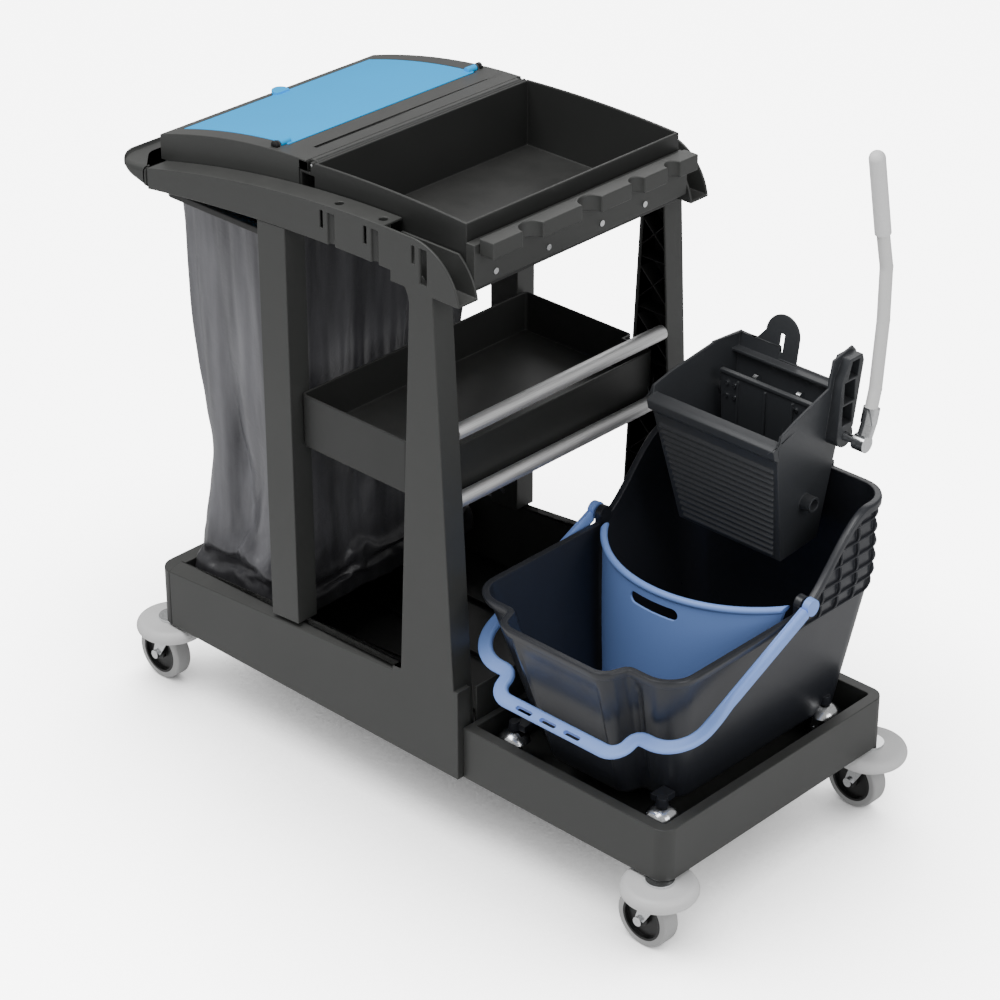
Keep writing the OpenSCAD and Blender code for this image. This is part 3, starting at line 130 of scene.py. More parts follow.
def moulding_grain_group():
    """Fine pebbled skin of a moulding, with broad faint changes of tone."""
    g = bpy.data.node_groups.new("moulding_grain", "ShaderNodeTree")
    for name, kind, value in (("Color", "NodeSocketColor", (0.1, 0.1, 0.1, 1)),
                              ("Grain Scale", "NodeSocketFloat", 900.0),
                              ("Tone Change", "NodeSocketFloat", 0.12),
                              ("Roughness", "NodeSocketFloat", 0.45)):
        g.interface.new_socket(name, in_out="INPUT", socket_type=kind).default_value = value
    g.interface.new_socket("Color", in_out="OUTPUT", socket_type="NodeSocketColor")
    g.interface.new_socket("Roughness", in_out="OUTPUT", socket_type="NodeSocketFloat")
    g.interface.new_socket("Height", in_out="OUTPUT", socket_type="NodeSocketFloat")
    n, l = g.nodes, g.links
    put, out = n.new("NodeGroupInput"), n.new("NodeGroupOutput")
    where = n.new("ShaderNodeTexCoord")
    grain = n.new("ShaderNodeTexNoise")
    grain.inputs["Detail"].default_value = 3
    l.new(where.outputs["Object"], grain.inputs["Vector"])
    l.new(put.outputs["Grain Scale"], grain.inputs["Scale"])
    broad = n.new("ShaderNodeTexNoise")
    broad.inputs["Scale"].default_value = 7
    broad.inputs["Detail"].default_value = 4
    l.new(where.outputs["Object"], broad.inputs["Vector"])
    tone = n.new("ShaderNodeMath")
    tone.operation = "MULTIPLY_ADD"
    swing = n.new("ShaderNodeMath")
    swing.operation = "SUBTRACT"
    swing.inputs[1].default_value = 0.5
    l.new(broad.outputs["Fac"], swing.inputs[0])
    l.new(swing.outputs[0], tone.inputs[0])
    l.new(put.outputs["Tone Change"], tone.inputs[1])
    tone.inputs[2].default_value = 1.0
    fleck = n.new("ShaderNodeMath")
    fleck.operation = "MULTIPLY_ADD"
    fleck.inputs[1].default_value = 0.16
    fleck.inputs[2].default_value = 0.92
    l.new(grain.outputs["Fac"], fleck.inputs[0])
    both = n.new("ShaderNodeMath")
    both.operation = "MULTIPLY"
    l.new(tone.outputs[0], both.inputs[0])
    l.new(fleck.outputs[0], both.inputs[1])
    tint = n.new("ShaderNodeVectorMath")
    tint.operation = "SCALE"
    l.new(put.outputs["Color"], tint.inputs[0])
    l.new(both.outputs[0], tint.inputs["Scale"])
    l.new(tint.outputs[0], out.inputs["Color"])
    rough = n.new("ShaderNodeMath")
    rough.operation = "MULTIPLY_ADD"
    rough.inputs[1].default_value = 0.2
    l.new(swing.outputs[0], rough.inputs[0])
    l.new(put.outputs["Roughness"], rough.inputs[2])
    l.new(rough.outputs[0], out.inputs["Roughness"])
    l.new(grain.outputs["Fac"], out.inputs["Height"])
    return g


def edge_wear_group():
    """Paler, rubbed tone where a rounded edge turns, broken up along its length."""
    g = bpy.data.node_groups.new("edge_wear", "ShaderNodeTree")
    for name, kind, value in (("Color", "NodeSocketColor", (0.1, 0.1, 0.1, 1)),
                              ("Worn Color", "NodeSocketColor", (0.3, 0.3, 0.3, 1)),
                              ("Rounded Normal", "NodeSocketVector", (0, 0, 1)),
                              ("Amount", "NodeSocketFloat", 0.5)):
        g.interface.new_socket(name, in_out="INPUT", socket_type=kind).default_value = value
    g.interface.new_socket("Color", in_out="OUTPUT", socket_type="NodeSocketColor")
    g.interface.new_socket("Mask", in_out="OUTPUT", socket_type="NodeSocketFloat")
    n, l = g.nodes, g.links
    put, out = n.new("NodeGroupInput"), n.new("NodeGroupOutput")
    plain = n.new("ShaderNodeNewGeometry")
    turn = n.new("ShaderNodeVectorMath")
    turn.operation = "DOT_PRODUCT"
    l.new(put.outputs["Rounded Normal"], turn.inputs[0])
    l.new(plain.outputs["Normal"], turn.inputs[1])
    edge = n.new("ShaderNodeMapRange")
    edge.inputs["From Min"].default_value = 0.985
    edge.inputs["From Max"].default_value = 0.86
    l.new(turn.outputs["Value"], edge.inputs["Value"])
    where = n.new("ShaderNodeTexCoord")
    broken = n.new("ShaderNodeTexNoise")
    broken.inputs["Scale"].default_value = 55
    broken.inputs["Detail"].default_value = 5
    l.new(where.outputs["Object"], broken.inputs["Vector"])
    patch = n.new("ShaderNodeMapRange")
    patch.inputs["From Min"].default_value = 0.38
    patch.inputs["From Max"].default_value = 0.62
    l.new(broken.outputs["Fac"], patch.inputs["Value"])
    mask = n.new("ShaderNodeMath")
    mask.operation = "MULTIPLY"
    l.new(edge.outputs["Result"], mask.inputs[0])
    l.new(patch.outputs["Result"], mask.inputs[1])
    share = n.new("ShaderNodeMath")
    share.operation = "MULTIPLY"
    l.new(mask.outputs[0], share.inputs[0])
    l.new(put.outputs["Amount"], share.inputs[1])
    mix = n.new("ShaderNodeMix")
    mix.data_type = "RGBA"
    l.new(share.outputs[0], mix.inputs["Factor"])
    l.new(put.outputs["Color"], mix.inputs[6])
    l.new(put.outputs["Worn Color"], mix.inputs[7])
    l.new(mix.outputs[2], out.inputs["Color"])
    l.new(share.outputs[0], out.inputs["Mask"])
    return g


def dust_group():
    """Thin pale dust that settles on faces turned upwards."""
    g = bpy.data.node_groups.new("settled_dust", "ShaderNodeTree")
    for name, kind, value in (("Color", "NodeSocketColor", (0.1, 0.1, 0.1, 1)),
                              ("Dust Color", "NodeSocketColor", (0.4, 0.39, 0.37, 1)),
                              ("Amount", "NodeSocketFloat", 0.1),
                              ("Roughness", "NodeSocketFloat", 0.45)):
        g.interface.new_socket(name, in_out="INPUT", socket_type=kind).default_value = value
    g.interface.new_socket("Color", in_out="OUTPUT", socket_type="NodeSocketColor")
    g.interface.new_socket("Roughness", in_out="OUTPUT", socket_type="NodeSocketFloat")
    n, l = g.nodes, g.links
    put, out = n.new("NodeGroupInput"), n.new("NodeGroupOutput")
    way = n.new("ShaderNodeNewGeometry")
    split = n.new("ShaderNodeSeparateXYZ")
    l.new(way.outputs["Normal"], split.inputs[0])
    up = n.new("ShaderNodeMapRange")
    up.inputs["From Min"].default_value = 0.55
    up.inputs["From Max"].default_value = 1.0
    l.new(split.outputs["Z"], up.inputs["Value"])
    where = n.new("ShaderNodeTexCoord")
    cloud = n.new("ShaderNodeTexNoise")
    cloud.inputs["Scale"].default_value = 24
    cloud.inputs["Detail"].default_value = 6
    cloud.inputs["Roughness"].default_value = 0.65
    l.new(where.outputs["Object"], cloud.inputs["Vector"])
    mask = n.new("ShaderNodeMath")
    mask.operation = "MULTIPLY"
    l.new(up.outputs["Result"], mask.inputs[0])
    l.new(cloud.outputs["Fac"], mask.inputs[1])
    share = n.new("ShaderNodeMath")
    share.operation = "MULTIPLY"
    l.new(mask.outputs[0], share.inputs[0])
    l.new(put.outputs["Amount"], share.inputs[1])
    mix = n.new("ShaderNodeMix")
    mix.data_type = "RGBA"
    l.new(share.outputs[0], mix.inputs["Factor"])
    l.new(put.outputs["Color"], mix.inputs[6])
    l.new(put.outputs["Dust Color"], mix.inputs[7])
    rough = n.new("ShaderNodeMath")
    rough.operation = "ADD"
    l.new(put.outputs["Roughness"], rough.inputs[0])
    l.new(share.outputs[0], rough.inputs[1])
    l.new(mix.outputs[2], out.inputs["Color"])
    l.new(rough.outputs[0], out.inputs["Roughness"])
    return g


def painted_shade_gradient_group():
    """Painted shade: darkens a colour along one direction, where shade falls in deep wells and on film in the shade of
    the frame.
    """
    g = bpy.data.node_groups.new("painted_shade_gradient", "ShaderNodeTree")
    for name, kind, value in (("Color", "NodeSocketColor", (0.1, 0.1, 0.1, 1)),
                              ("Along", "NodeSocketVector", (0, 0, 1)),
                              ("Dark End", "NodeSocketFloat", 0.0),
                              ("Light End", "NodeSocketFloat", 1.0),
                              ("Darkest", "NodeSocketFloat", 1.0)):
        g.interface.new_socket(name, in_out="INPUT", socket_type=kind).default_value = value
    g.interface.new_socket("Color", in_out="OUTPUT", socket_type="NodeSocketColor")
    n, l = g.nodes, g.links
    put, out = n.new("NodeGroupInput"), n.new("NodeGroupOutput")
    where = n.new("ShaderNodeTexCoord")
    along = n.new("ShaderNodeVectorMath")
    along.operation = "DOT_PRODUCT"
    l.new(where.outputs["Object"], along.inputs[0])
    l.new(put.outputs["Along"], along.inputs[1])
    share = n.new("ShaderNodeMapRange")
    share.interpolation_type = "SMOOTHSTEP"
    l.new(along.outputs["Value"], share.inputs["Value"])
    l.new(put.outputs["Dark End"], share.inputs["From Min"])
    l.new(put.outputs["Light End"], share.inputs["From Max"])
    l.new(put.outputs["Darkest"], share.inputs["To Min"])
    tint = n.new("ShaderNodeVectorMath")
    tint.operation = "SCALE"
    l.new(put.outputs["Color"], tint.inputs[0])
    l.new(share.outputs["Result"], tint.inputs["Scale"])
    l.new(tint.outputs[0], out.inputs["Color"])
    return g


painted_shade_gradient = painted_shade_gradient_group()
moulding_grain = moulding_grain_group()
edge_wear = edge_wear_group()
settled_dust = dust_group()


def moulded_plastic(name, color, roughness, worn, grain=900.0, depth=0.00012, tone=0.12, wear=0.35,
                    dust=0.08, radius=0.0012, coat=0.0, deep=None):
    """Grained plastic: its colour goes through grain, rubbed edges and dust, and with deep given it gets painted shade,
    darker towards the bottom of a deep well.
    """
    m = bpy.data.materials.new(name)
    m.use_nodes = True
    n, l = m.node_tree.nodes, m.node_tree.links
    shader = n["Principled BSDF"]
    shader.inputs["Coat Weight"].default_value = coat
    skin = n.new("ShaderNodeGroup")
    skin.node_tree = moulding_grain
    skin.inputs["Color"].default_value = (*color, 1)
    skin.inputs["Grain Scale"].default_value = grain
    skin.inputs["Tone Change"].default_value = tone
    skin.inputs["Roughness"].default_value = roughness
    rounded = n.new("ShaderNodeBevel")
    rounded.samples = 4
    rounded.inputs["Radius"].default_value = radius
    rub = n.new("ShaderNodeGroup")
    rub.node_tree = edge_wear
    rub.inputs["Worn Color"].default_value = (*worn, 1)
    rub.inputs["Amount"].default_value = wear
    l.new(skin.outputs["Color"], rub.inputs["Color"])
    l.new(rounded.outputs["Normal"], rub.inputs["Rounded Normal"])
    film = n.new("ShaderNodeGroup")
    film.node_tree = settled_dust
    film.inputs["Amount"].default_value = dust
    l.new(rub.outputs["Color"], film.inputs["Color"])
    l.new(skin.outputs["Roughness"], film.inputs["Roughness"])
    # Painted shade: with deep given, the colour darkens towards the bottom of a deep well.
    painted_well_shade = n.new("ShaderNodeGroup")
    painted_well_shade.node_tree = painted_shade_gradient
    if deep:
        painted_well_shade.inputs["Dark End"].default_value, painted_well_shade.inputs["Light End"].default_value = deep[:2]
        painted_well_shade.inputs["Darkest"].default_value = deep[2]
    l.new(film.outputs["Color"], painted_well_shade.inputs["Color"])
    l.new(painted_well_shade.outputs["Color"], shader.inputs["Base Color"])
    l.new(film.outputs["Roughness"], shader.inputs["Roughness"])
    bump = n.new("ShaderNodeBump")
    bump.inputs["Strength"].default_value = 0.5
    bump.inputs["Distance"].default_value = depth
    l.new(skin.outputs["Height"], bump.inputs["Height"])
    l.new(rounded.outputs["Normal"], bump.inputs["Normal"])
    l.new(bump.outputs["Normal"], shader.inputs["Normal"])
    return m


def finish_shading(piece, angle=32):
    """Smooth over curves, crisp over corners, with broad faces keeping their own normals."""
    piece.data.shade_smooth()
    piece.data.set_sharp_from_angle(angle=math.radians(angle))
    weighted = piece.modifiers.new("weighted", "WEIGHTED_NORMAL")
    weighted.keep_sharp = True
    weighted.weight = 60


def stand_in(piece, node, finish):
    """Puts a detailed piece in a node's place, on its body and in its material slot."""
    piece.data.materials.clear()
    piece.data.materials.append(finish)
    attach(piece, body_of[node])
    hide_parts(node)
    return piece


def round_edges(node, radius, finish, steps=2, sharp=32, change=None):
    """The moulding from the CAD, with its sharp edges rounded after any change of its shape."""
    shape = bmesh.new()
    shape.from_mesh(frame["nodes"][node].data)
    bmesh.ops.remove_doubles(shape, verts=shape.verts, dist=2e-5)
    bmesh.ops.dissolve_limit(shape, angle_limit=math.radians(0.5), verts=shape.verts, edges=shape.edges)
    if change:
        change(shape)
    edges = [e for e in shape.edges if e.is_manifold and e.calc_face_angle(0) > math.radians(sharp)]
    bmesh.ops.bevel(shape, geom=edges, offset=radius, offset_type="OFFSET", segments=steps,
                    profile=0.5, affect="EDGES", clamp_overlap=False)
    mesh = bpy.data.meshes.new(node + "_moulding")
    shape.to_mesh(mesh)
    shape.free()
    piece = bpy.data.objects.new(node + "_moulding", mesh)
    bpy.context.collection.objects.link(piece)
    finish_shading(piece)
    return stand_in(piece, node, finish)


def refinish(node, finish):
    """A CAD part whose shape is right gets its real finish."""
    part = frame["nodes"][node]
    if not part.material_slots:
        part.data.materials.append(finish)
    for s in part.material_slots:
        s.material = finish


body_grey = moulded_plastic("body_grey", (0.047, 0.0485, 0.0465), 0.42, (0.18, 0.18, 0.175))
for node in ("side_panel_near", "side_panel_far", "rear_post_near", "rear_post_far", "end_beam"):
    round_edges(node, 0.0016, body_grey, 3)
tub_lo, tub_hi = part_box("base_tub")
# Painted shade: the tub's colour darkens towards its floor, where shade falls in its deep well.
tub_grey_painted_shade = moulded_plastic("tub_grey_painted_shade", (0.047, 0.0485, 0.0465), 0.42, (0.18, 0.18, 0.175),
                           deep=(tub_lo.z + 0.01, tub_hi.z - 0.02, 0.12))
round_edges("base_tub", 0.0016, tub_grey_painted_shade, 3)

# ---- Push handle ---------------------------------------------------------------------------
# The moulded loop that joins the two side frames. It thins towards its end, where the hands
# hold it, and every edge is well rounded.

handle_lo, handle_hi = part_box("push_handle")


def thin_towards_end(shape):
    """Lifts the underside and lowers the top of the loop towards its outer end."""
    for v in shape.verts:
        share = min(1, max(0, (handle_hi.x - v.co.x) / (handle_hi.x - handle_lo.x)))
        if v.co.z < (handle_lo.z + handle_hi.z) / 2:
            v.co.z += 0.026 * share ** 1.3
        else:
            v.co.z -= 0.006 * share


round_edges("push_handle", 0.009, body_grey, 5, change=thin_towards_end)

# ---- Post liners ---------------------------------------------------------------------------
# Black lattice inserts that clip into the hollow front posts from inside.

liner_black = moulded_plastic("liner_black", (0.012, 0.012, 0.012), 0.4, (0.05, 0.05, 0.05), dust=0.03)
for node in ("post_liner_near", "post_liner_far"):
    round_edges(node, 0.0008, liner_black)

# ---- Bag rim and waste bag -----------------------------------------------------------------
# A moulded ring between the beams holds the mouth of a thin grey polythene bag. The film
# hangs in soft vertical folds, is drawn in at the waist and fills out again on the base.

rim_black = moulded_plastic("rim_black", (0.02, 0.02, 0.02), 0.45, (0.06, 0.06, 0.06), dust=0.04)
round_edges("bag_rim", 0.002, rim_black, 3)


def ring_point(x0, x1, half, r, u):
    """Point at share u of the way round a rounded rectangle."""
    w, h = x1 - x0 - 2 * r, 2 * half - 2 * r
    q = math.pi * r / 2
    d = (u % 1.0) * (2 * w + 2 * h + 4 * q)
    sides = ((w, (x0 + r, -half), (1, 0)), (h, (x1, -half + r), (0, 1)),
             (w, (x1 - r, half), (-1, 0)), (h, (x0, half - r), (0, -1)))
    for length, start, way in sides:
        if d <= length:
            return start[0] + way[0] * d, start[1] + way[1] * d
        d -= length
        end = (start[0] + way[0] * length, start[1] + way[1] * length)
        if d <= q:
            a = d / r
            inward = (-way[1], way[0])
            return (end[0] + r * (way[0] * math.sin(a) + inward[0] * (1 - math.cos(a))),
                    end[1] + r * (way[1] * math.sin(a) + inward[1] * (1 - math.cos(a))))
        d -= q
    return sides[0][1]


bag_lo, bag_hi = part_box("waste_bag")
BAG_ROUND, BAG_DOWN = 168, 96
bag_shape = bmesh.new()
bag_rows = []
for j in range(BAG_DOWN + 1):
    t = j / BAG_DOWN
    z = bag_hi.z - 0.0015 - t * (bag_hi.z - bag_lo.z + 0.020)
    waist = math.exp(-((t - 0.63) / 0.2) ** 2)
    deep = 0.002 + 0.011 * min(1, t * 3.2) * (1 - 0.5 * max(0, t - 0.75) / 0.25)
    row = []
    flare = max(0.0, (t - 0.72) / 0.28) ** 1.6
    for i in range(BAG_ROUND):
        u = i / BAG_ROUND
        x, y = ring_point(bag_lo.x + 0.001 + 0.018 * waist - 0.013 * flare, bag_hi.x - 0.003 - 0.010 * waist,
                          bag_hi.y - 0.002 - 0.016 * waist + 0.013 * flare, 0.03, u)
        out = Vector((x - (bag_lo.x + bag_hi.x) / 2, y, 0)).normalized()
        lean = 0.9 * t + 0.35 * math.sin(5 * t)
        pleat = abs(math.sin(math.pi * (9 * u + lean)))
        fold = 0.7 * pleat + 0.5 * noise.noise(Vector((9 * math.cos(6.28 * u), 9 * math.sin(6.28 * u), 3.2 * t)))
        crease = noise.noise(Vector((30 * u, 11 * t, 4.0)))
        inset = deep * max(0.0, 1.05 - fold) + 0.0035 * crease * min(1, 3 * t) + 0.012 * waist * (1 - pleat)
        p = Vector((x, y, z)) - out * max(0.0, inset)
        row.append(bag_shape.verts.new(p))
    bag_rows.append(row)
for a, b in zip(bag_rows, bag_rows[1:]):
    for i in range(BAG_ROUND):
        k = (i + 1) % BAG_ROUND
        bag_shape.faces.new((a[i], b[i], b[k], a[k]))
low_ring = bag_rows[-1]
middle = Vector(((bag_lo.x + bag_hi.x) / 2, 0, bag_rows[-1][0].co.z + 0.004))
for share in (0.8, 0.5, 0.22):
    ring = [bag_shape.verts.new(middle + (v.co - middle) * share / 1.0
                                + Vector((0, 0, 0.004 * noise.noise(v.co * 14)))) for v in bag_rows[-1]]
    for i in range(BAG_ROUND):
        k = (i + 1) % BAG_ROUND
        bag_shape.faces.new((low_ring[i], ring[i], ring[k], low_ring[k]))
    low_ring = ring
bag_shape.faces.new(low_ring[::-1])
bag_mesh = bpy.data.meshes.new("waste_bag_film")
bag_shape.to_mesh(bag_mesh)
bag_shape.free()
bag = bpy.data.objects.new("waste_bag_film", bag_mesh)
bpy.context.collection.objects.link(bag)

# the mouth is held by the ring; weight and a little suction draw the folds
held = bag.vertex_groups.new(name="held")
for v in bag_mesh.vertices:
    t = (bag_hi.z - v.co.z) / (bag_hi.z - bag_lo.z)
    held.add([v.index], 1.0 if t < 0.012 or t > 0.985 else 0.04, "REPLACE")
before = [v.co.copy() for v in bag_mesh.vertices]
cloth = bag.modifiers.new("film", "CLOTH")
cloth.settings.vertex_group_mass = "held"
cloth.settings.quality = 5
cloth.settings.mass = 0.05
cloth.settings.tension_stiffness = 18
cloth.settings.compression_stiffness = 4
cloth.settings.bending_stiffness = 0.02
cloth.settings.use_pressure = True
cloth.settings.uniform_pressure_force = -0.25
cloth.settings.shrink_min = -0.03
scene = bpy.context.scene
scene.frame_start, scene.frame_end = 1, 18
for step in range(1, 19):
    scene.frame_set(step)
settled = bag.evaluated_get(bpy.context.evaluated_depsgraph_get())
after = [v.co.copy() for v in settled.data.vertices]
bag.modifiers.clear()
for v, a, b in zip(bag_mesh.vertices, before, after):
    move = b - a
    move.length = min(move.length, 0.014)
    v.co = a + move
for v in bag_mesh.vertices:
    v.co.x = min(max(v.co.x, bag_lo.x - 0.014), bag_hi.x + 0.001)
    v.co.y = min(max(v.co.y, -bag_hi.y - 0.013), bag_hi.y + 0.013)
    v.co.z = min(max(v.co.z, bag_lo.z - 0.026), bag_hi.z)
scene.frame_set(1)
bag_mesh.shade_smooth()
smooth = bag.modifiers.new("smooth", "SUBSURF")
smooth.levels = smooth.render_levels = 1

bag_film = bpy.data.materials.new("bag_film")
bag_film.use_nodes = True
n, l = bag_film.node_tree.nodes, bag_film.node_tree.links
shader = n["Principled BSDF"]
where = n.new("ShaderNodeTexCoord")
stretch = n.new("ShaderNodeMapping")
stretch.inputs["Scale"].default_value = (14, 14, 1.6)
l.new(where.outputs["Object"], stretch.inputs["Vector"])
streak = n.new("ShaderNodeTexNoise")
streak.inputs["Scale"].default_value = 1.6
streak.inputs["Detail"].default_value = 6
l.new(stretch.outputs["Vector"], streak.inputs["Vector"])
tones = n.new("ShaderNodeValToRGB")
tones.color_ramp.elements[0].position = 0.3
tones.color_ramp.elements[0].color = (0.085, 0.085, 0.095, 1)
tones.color_ramp.elements[1].position = 0.72
tones.color_ramp.elements[1].color = (0.26, 0.26, 0.28, 1)
l.new(streak.outputs["Fac"], tones.inputs["Fac"])
# Painted shade: the film darkens towards its +x end, where it hangs in shade behind the rear post inside the frame.
painted_frame_shade = n.new("ShaderNodeGroup")
painted_frame_shade.node_tree = painted_shade_gradient
painted_frame_shade.inputs["Along"].default_value = (-1, 0, 0)
painted_frame_shade.inputs["Dark End"].default_value = -bag_hi.x - 0.05
painted_frame_shade.inputs["Light End"].default_value = -bag_hi.x + 0.08
painted_frame_shade.inputs["Darkest"].default_value = 0.35
# Painted shade: the film darkens towards its foot, deep in the base tub.
painted_foot_shade = n.new("ShaderNodeGroup")
painted_foot_shade.node_tree = painted_shade_gradient
painted_foot_shade.inputs["Dark End"].default_value = bag_lo.z
painted_foot_shade.inputs["Light End"].default_value = bag_lo.z + 0.13
painted_foot_shade.inputs["Darkest"].default_value = 0.28
l.new(tones.outputs["Color"], painted_frame_shade.inputs["Color"])
l.new(painted_frame_shade.outputs["Color"], painted_foot_shade.inputs["Color"])
l.new(painted_foot_shade.outputs["Color"], shader.inputs["Base Color"])
sheen = n.new("ShaderNodeMapRange")
sheen.inputs["To Min"].default_value = 0.24
sheen.inputs["To Max"].default_value = 0.46
l.new(streak.outputs["Fac"], sheen.inputs["Value"])
l.new(sheen.outputs["Result"], shader.inputs["Roughness"])
crinkle = n.new("ShaderNodeTexNoise")
crinkle.inputs["Scale"].default_value = 60
crinkle.inputs["Detail"].default_value = 8
crinkle.inputs["Distortion"].default_value = 1.2
l.new(where.outputs["Object"], crinkle.inputs["Vector"])
bump = n.new("ShaderNodeBump")
bump.inputs["Strength"].default_value = 0.5
bump.inputs["Distance"].default_value = 0.0015
l.new(crinkle.outputs["Fac"], bump.inputs["Height"])
l.new(bump.outputs["Normal"], shader.inputs["Normal"])
shader.inputs["Specular IOR Level"].default_value = 0.5
stand_in(bag, "waste_bag", bag_film)

# ---- Cross bars ----------------------------------------------------------------------------
# Two satin aluminium tubes sprung between the front posts keep the middle tray in.


def brushed_metal(name, color, roughness, along=(1, 60, 60), spread=0.12):
    """Metal with fine lines drawn along its length."""
    m = bpy.data.materials.new(name)
    m.use_nodes = True
    n, l = m.node_tree.nodes, m.node_tree.links
    shader = n["Principled BSDF"]
    shader.inputs["Metallic"].default_value = 1.0
    where = n.new("ShaderNodeTexCoord")
    stretch = n.new("ShaderNodeMapping")
    stretch.inputs["Scale"].default_value = along
    l.new(where.outputs["Object"], stretch.inputs["Vector"])
    lines = n.new("ShaderNodeTexNoise")
    lines.inputs["Scale"].default_value = 14
    lines.inputs["Detail"].default_value = 6
    l.new(stretch.outputs["Vector"], lines.inputs["Vector"])
    tones = n.new("ShaderNodeValToRGB")
    tones.color_ramp.elements[0].position = 0.3
    tones.color_ramp.elements[0].color = (*[c * 0.82 for c in color], 1)
    tones.color_ramp.elements[1].position = 0.7
    tones.color_ramp.elements[1].color = (*[min(1, c * 1.1) for c in color], 1)
    l.new(lines.outputs["Fac"], tones.inputs["Fac"])
    l.new(tones.outputs["Color"], shader.inputs["Base Color"])
    rough = n.new("ShaderNodeMapRange")
    rough.inputs["To Min"].default_value = roughness - spread / 2
    rough.inputs["To Max"].default_value = roughness + spread / 2
    l.new(lines.outputs["Fac"], rough.inputs["Value"])
    l.new(rough.outputs["Result"], shader.inputs["Roughness"])
    bump = n.new("ShaderNodeBump")
    bump.inputs["Strength"].default_value = 0.25
    bump.inputs["Distance"].default_value = 0.00006
    l.new(lines.outputs["Fac"], bump.inputs["Height"])
    l.new(bump.outputs["Normal"], shader.inputs["Normal"])
    return m


bar_satin = brushed_metal("bar_satin", (0.88, 0.88, 0.88), 0.52, (60, 1, 60))
for node in ("cross_bar_upper", "cross_bar_lower"):
    refinish(node, bar_satin)

# ---- Trays ---------------------------------------------------------------------------------
# The middle and the upper tray are deep mouldings in the same grain. Their colour is painted shade, set well below the
# body's grey so that they read nearly black inside.

tray_painted_shade = moulded_plastic("tray_painted_shade", (0.026, 0.027, 0.026), 0.42, (0.11, 0.11, 0.108), wear=0.5)
for node in ("middle_tray", "upper_tray"):
    round_edges(node, 0.0016, tray_painted_shade, 3)

# ---- Tool rail -----------------------------------------------------------------------------
# Notched rail across the bucket end for broom and mop handles, screwed to the end beam.

round_edges("tool_rail", 0.0022, body_grey, 3)

# ---- Platform ------------------------------------------------------------------------------
# Shallow open box that bolts to the base and carries the bucket.

round_edges("platform", 0.0016, body_grey, 3)

# ---- Castors and buffers -------------------------------------------------------------------
# Each corner has a zinc plated swivel housing, a pale grey disc that rolls along walls, and a
# 100 mm twin-leg castor with a pale tread on a black hub.

bright_zinc = brushed_metal("bright_zinc", (0.78, 0.79, 0.80), 0.2, (30, 30, 30), 0.14)
buffer_grey = moulded_plastic("buffer_grey", (0.84, 0.84, 0.84), 0.4, (0.7, 0.7, 0.7), tone=0.08,
                              wear=0.2, dust=0.0)
tread_grey = moulded_plastic("tread_grey", (0.50, 0.50, 0.50), 0.5, (0.5, 0.5, 0.5), grain=600,
                             depth=0.0002, tone=0.2, wear=0.2, dust=0.05)
hub_black = moulded_plastic("hub_black", (0.012, 0.012, 0.012), 0.33, (0.06, 0.06, 0.06), dust=0.03)
refinish("castor_mounts", bright_zinc)
for corner in ("rear_near", "rear_far", "front_near", "front_far"):
    refinish("buffer_" + corner, buffer_grey)
    refinish("castor_fork_" + corner, bright_zinc)
    refinish("castor_tyre_" + corner, tread_grey)
    refinish("castor_hub_" + corner, hub_black)

# ---- Screws --------------------------------------------------------------------------------
# Zinc plated screws through the side frames.

refinish("frame_screws", bright_zinc)

# ---- Lid and flap --------------------------------------------------------------------------
# The bag bay has a moulded lid frame hinged at the tray, with a blue flap hinged in it.

round_edges("lid_frame", 0.0016, body_grey, 3)
refinish("lid_pins", bright_zinc)
cap_black = moulded_plastic("cap_black", (0.012, 0.012, 0.013), 0.3, (0.05, 0.05, 0.05), dust=0.0)
refinish("flap_pins", cap_black)
flap_blue = moulded_plastic("flap_blue", (0.002, 0.46, 1.0), 0.55, (0.05, 0.55, 1.0), tone=0.06,
                            wear=0.3, dust=0.0)
flap_blue.node_tree.nodes["Principled BSDF"].inputs["Specular IOR Level"].default_value = 0.15
round_edges("lid_flap", 0.0012, flap_blue, 3)

# ---- Bucket --------------------------------------------------------------------------------
# Injection moulded mop bucket: walls that taper down, a wide fluted pouring lip, a rolled rim
# that climbs to a high back, and raised brick-like grips round that back. Four small castors
# sit in bright pressed cups under lugs at its corners.

bucket_black = moulded_plastic("bucket_black", (0.022, 0.024, 0.030), 0.32, (0.07, 0.075, 0.09),
                               grain=700, depth=0.00006, tone=0.15, dust=0.02)
shell_lo, shell_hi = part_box("bucket_shell")
BUCKET_X = (shell_lo.x + shell_hi.x) / 2
FOOT_Z, RIM_Z, BACK_Z = 0.200, 0.475, 0.601
HALF, LOBE_FRONT, SPOUT_FRONT, RIM_BACK, SPOUT_HALF = 0.205, 0.254, 0.297, 0.262, 0.11275
TAPER_X = 0.152 / HALF
TAPER_Y = (0.211 + 0.240) / (SPOUT_FRONT + RIM_BACK)
TAPER_Y0 = (0.240 - TAPER_Y * RIM_BACK) / (1 - TAPER_Y)
WALL = 0.0045


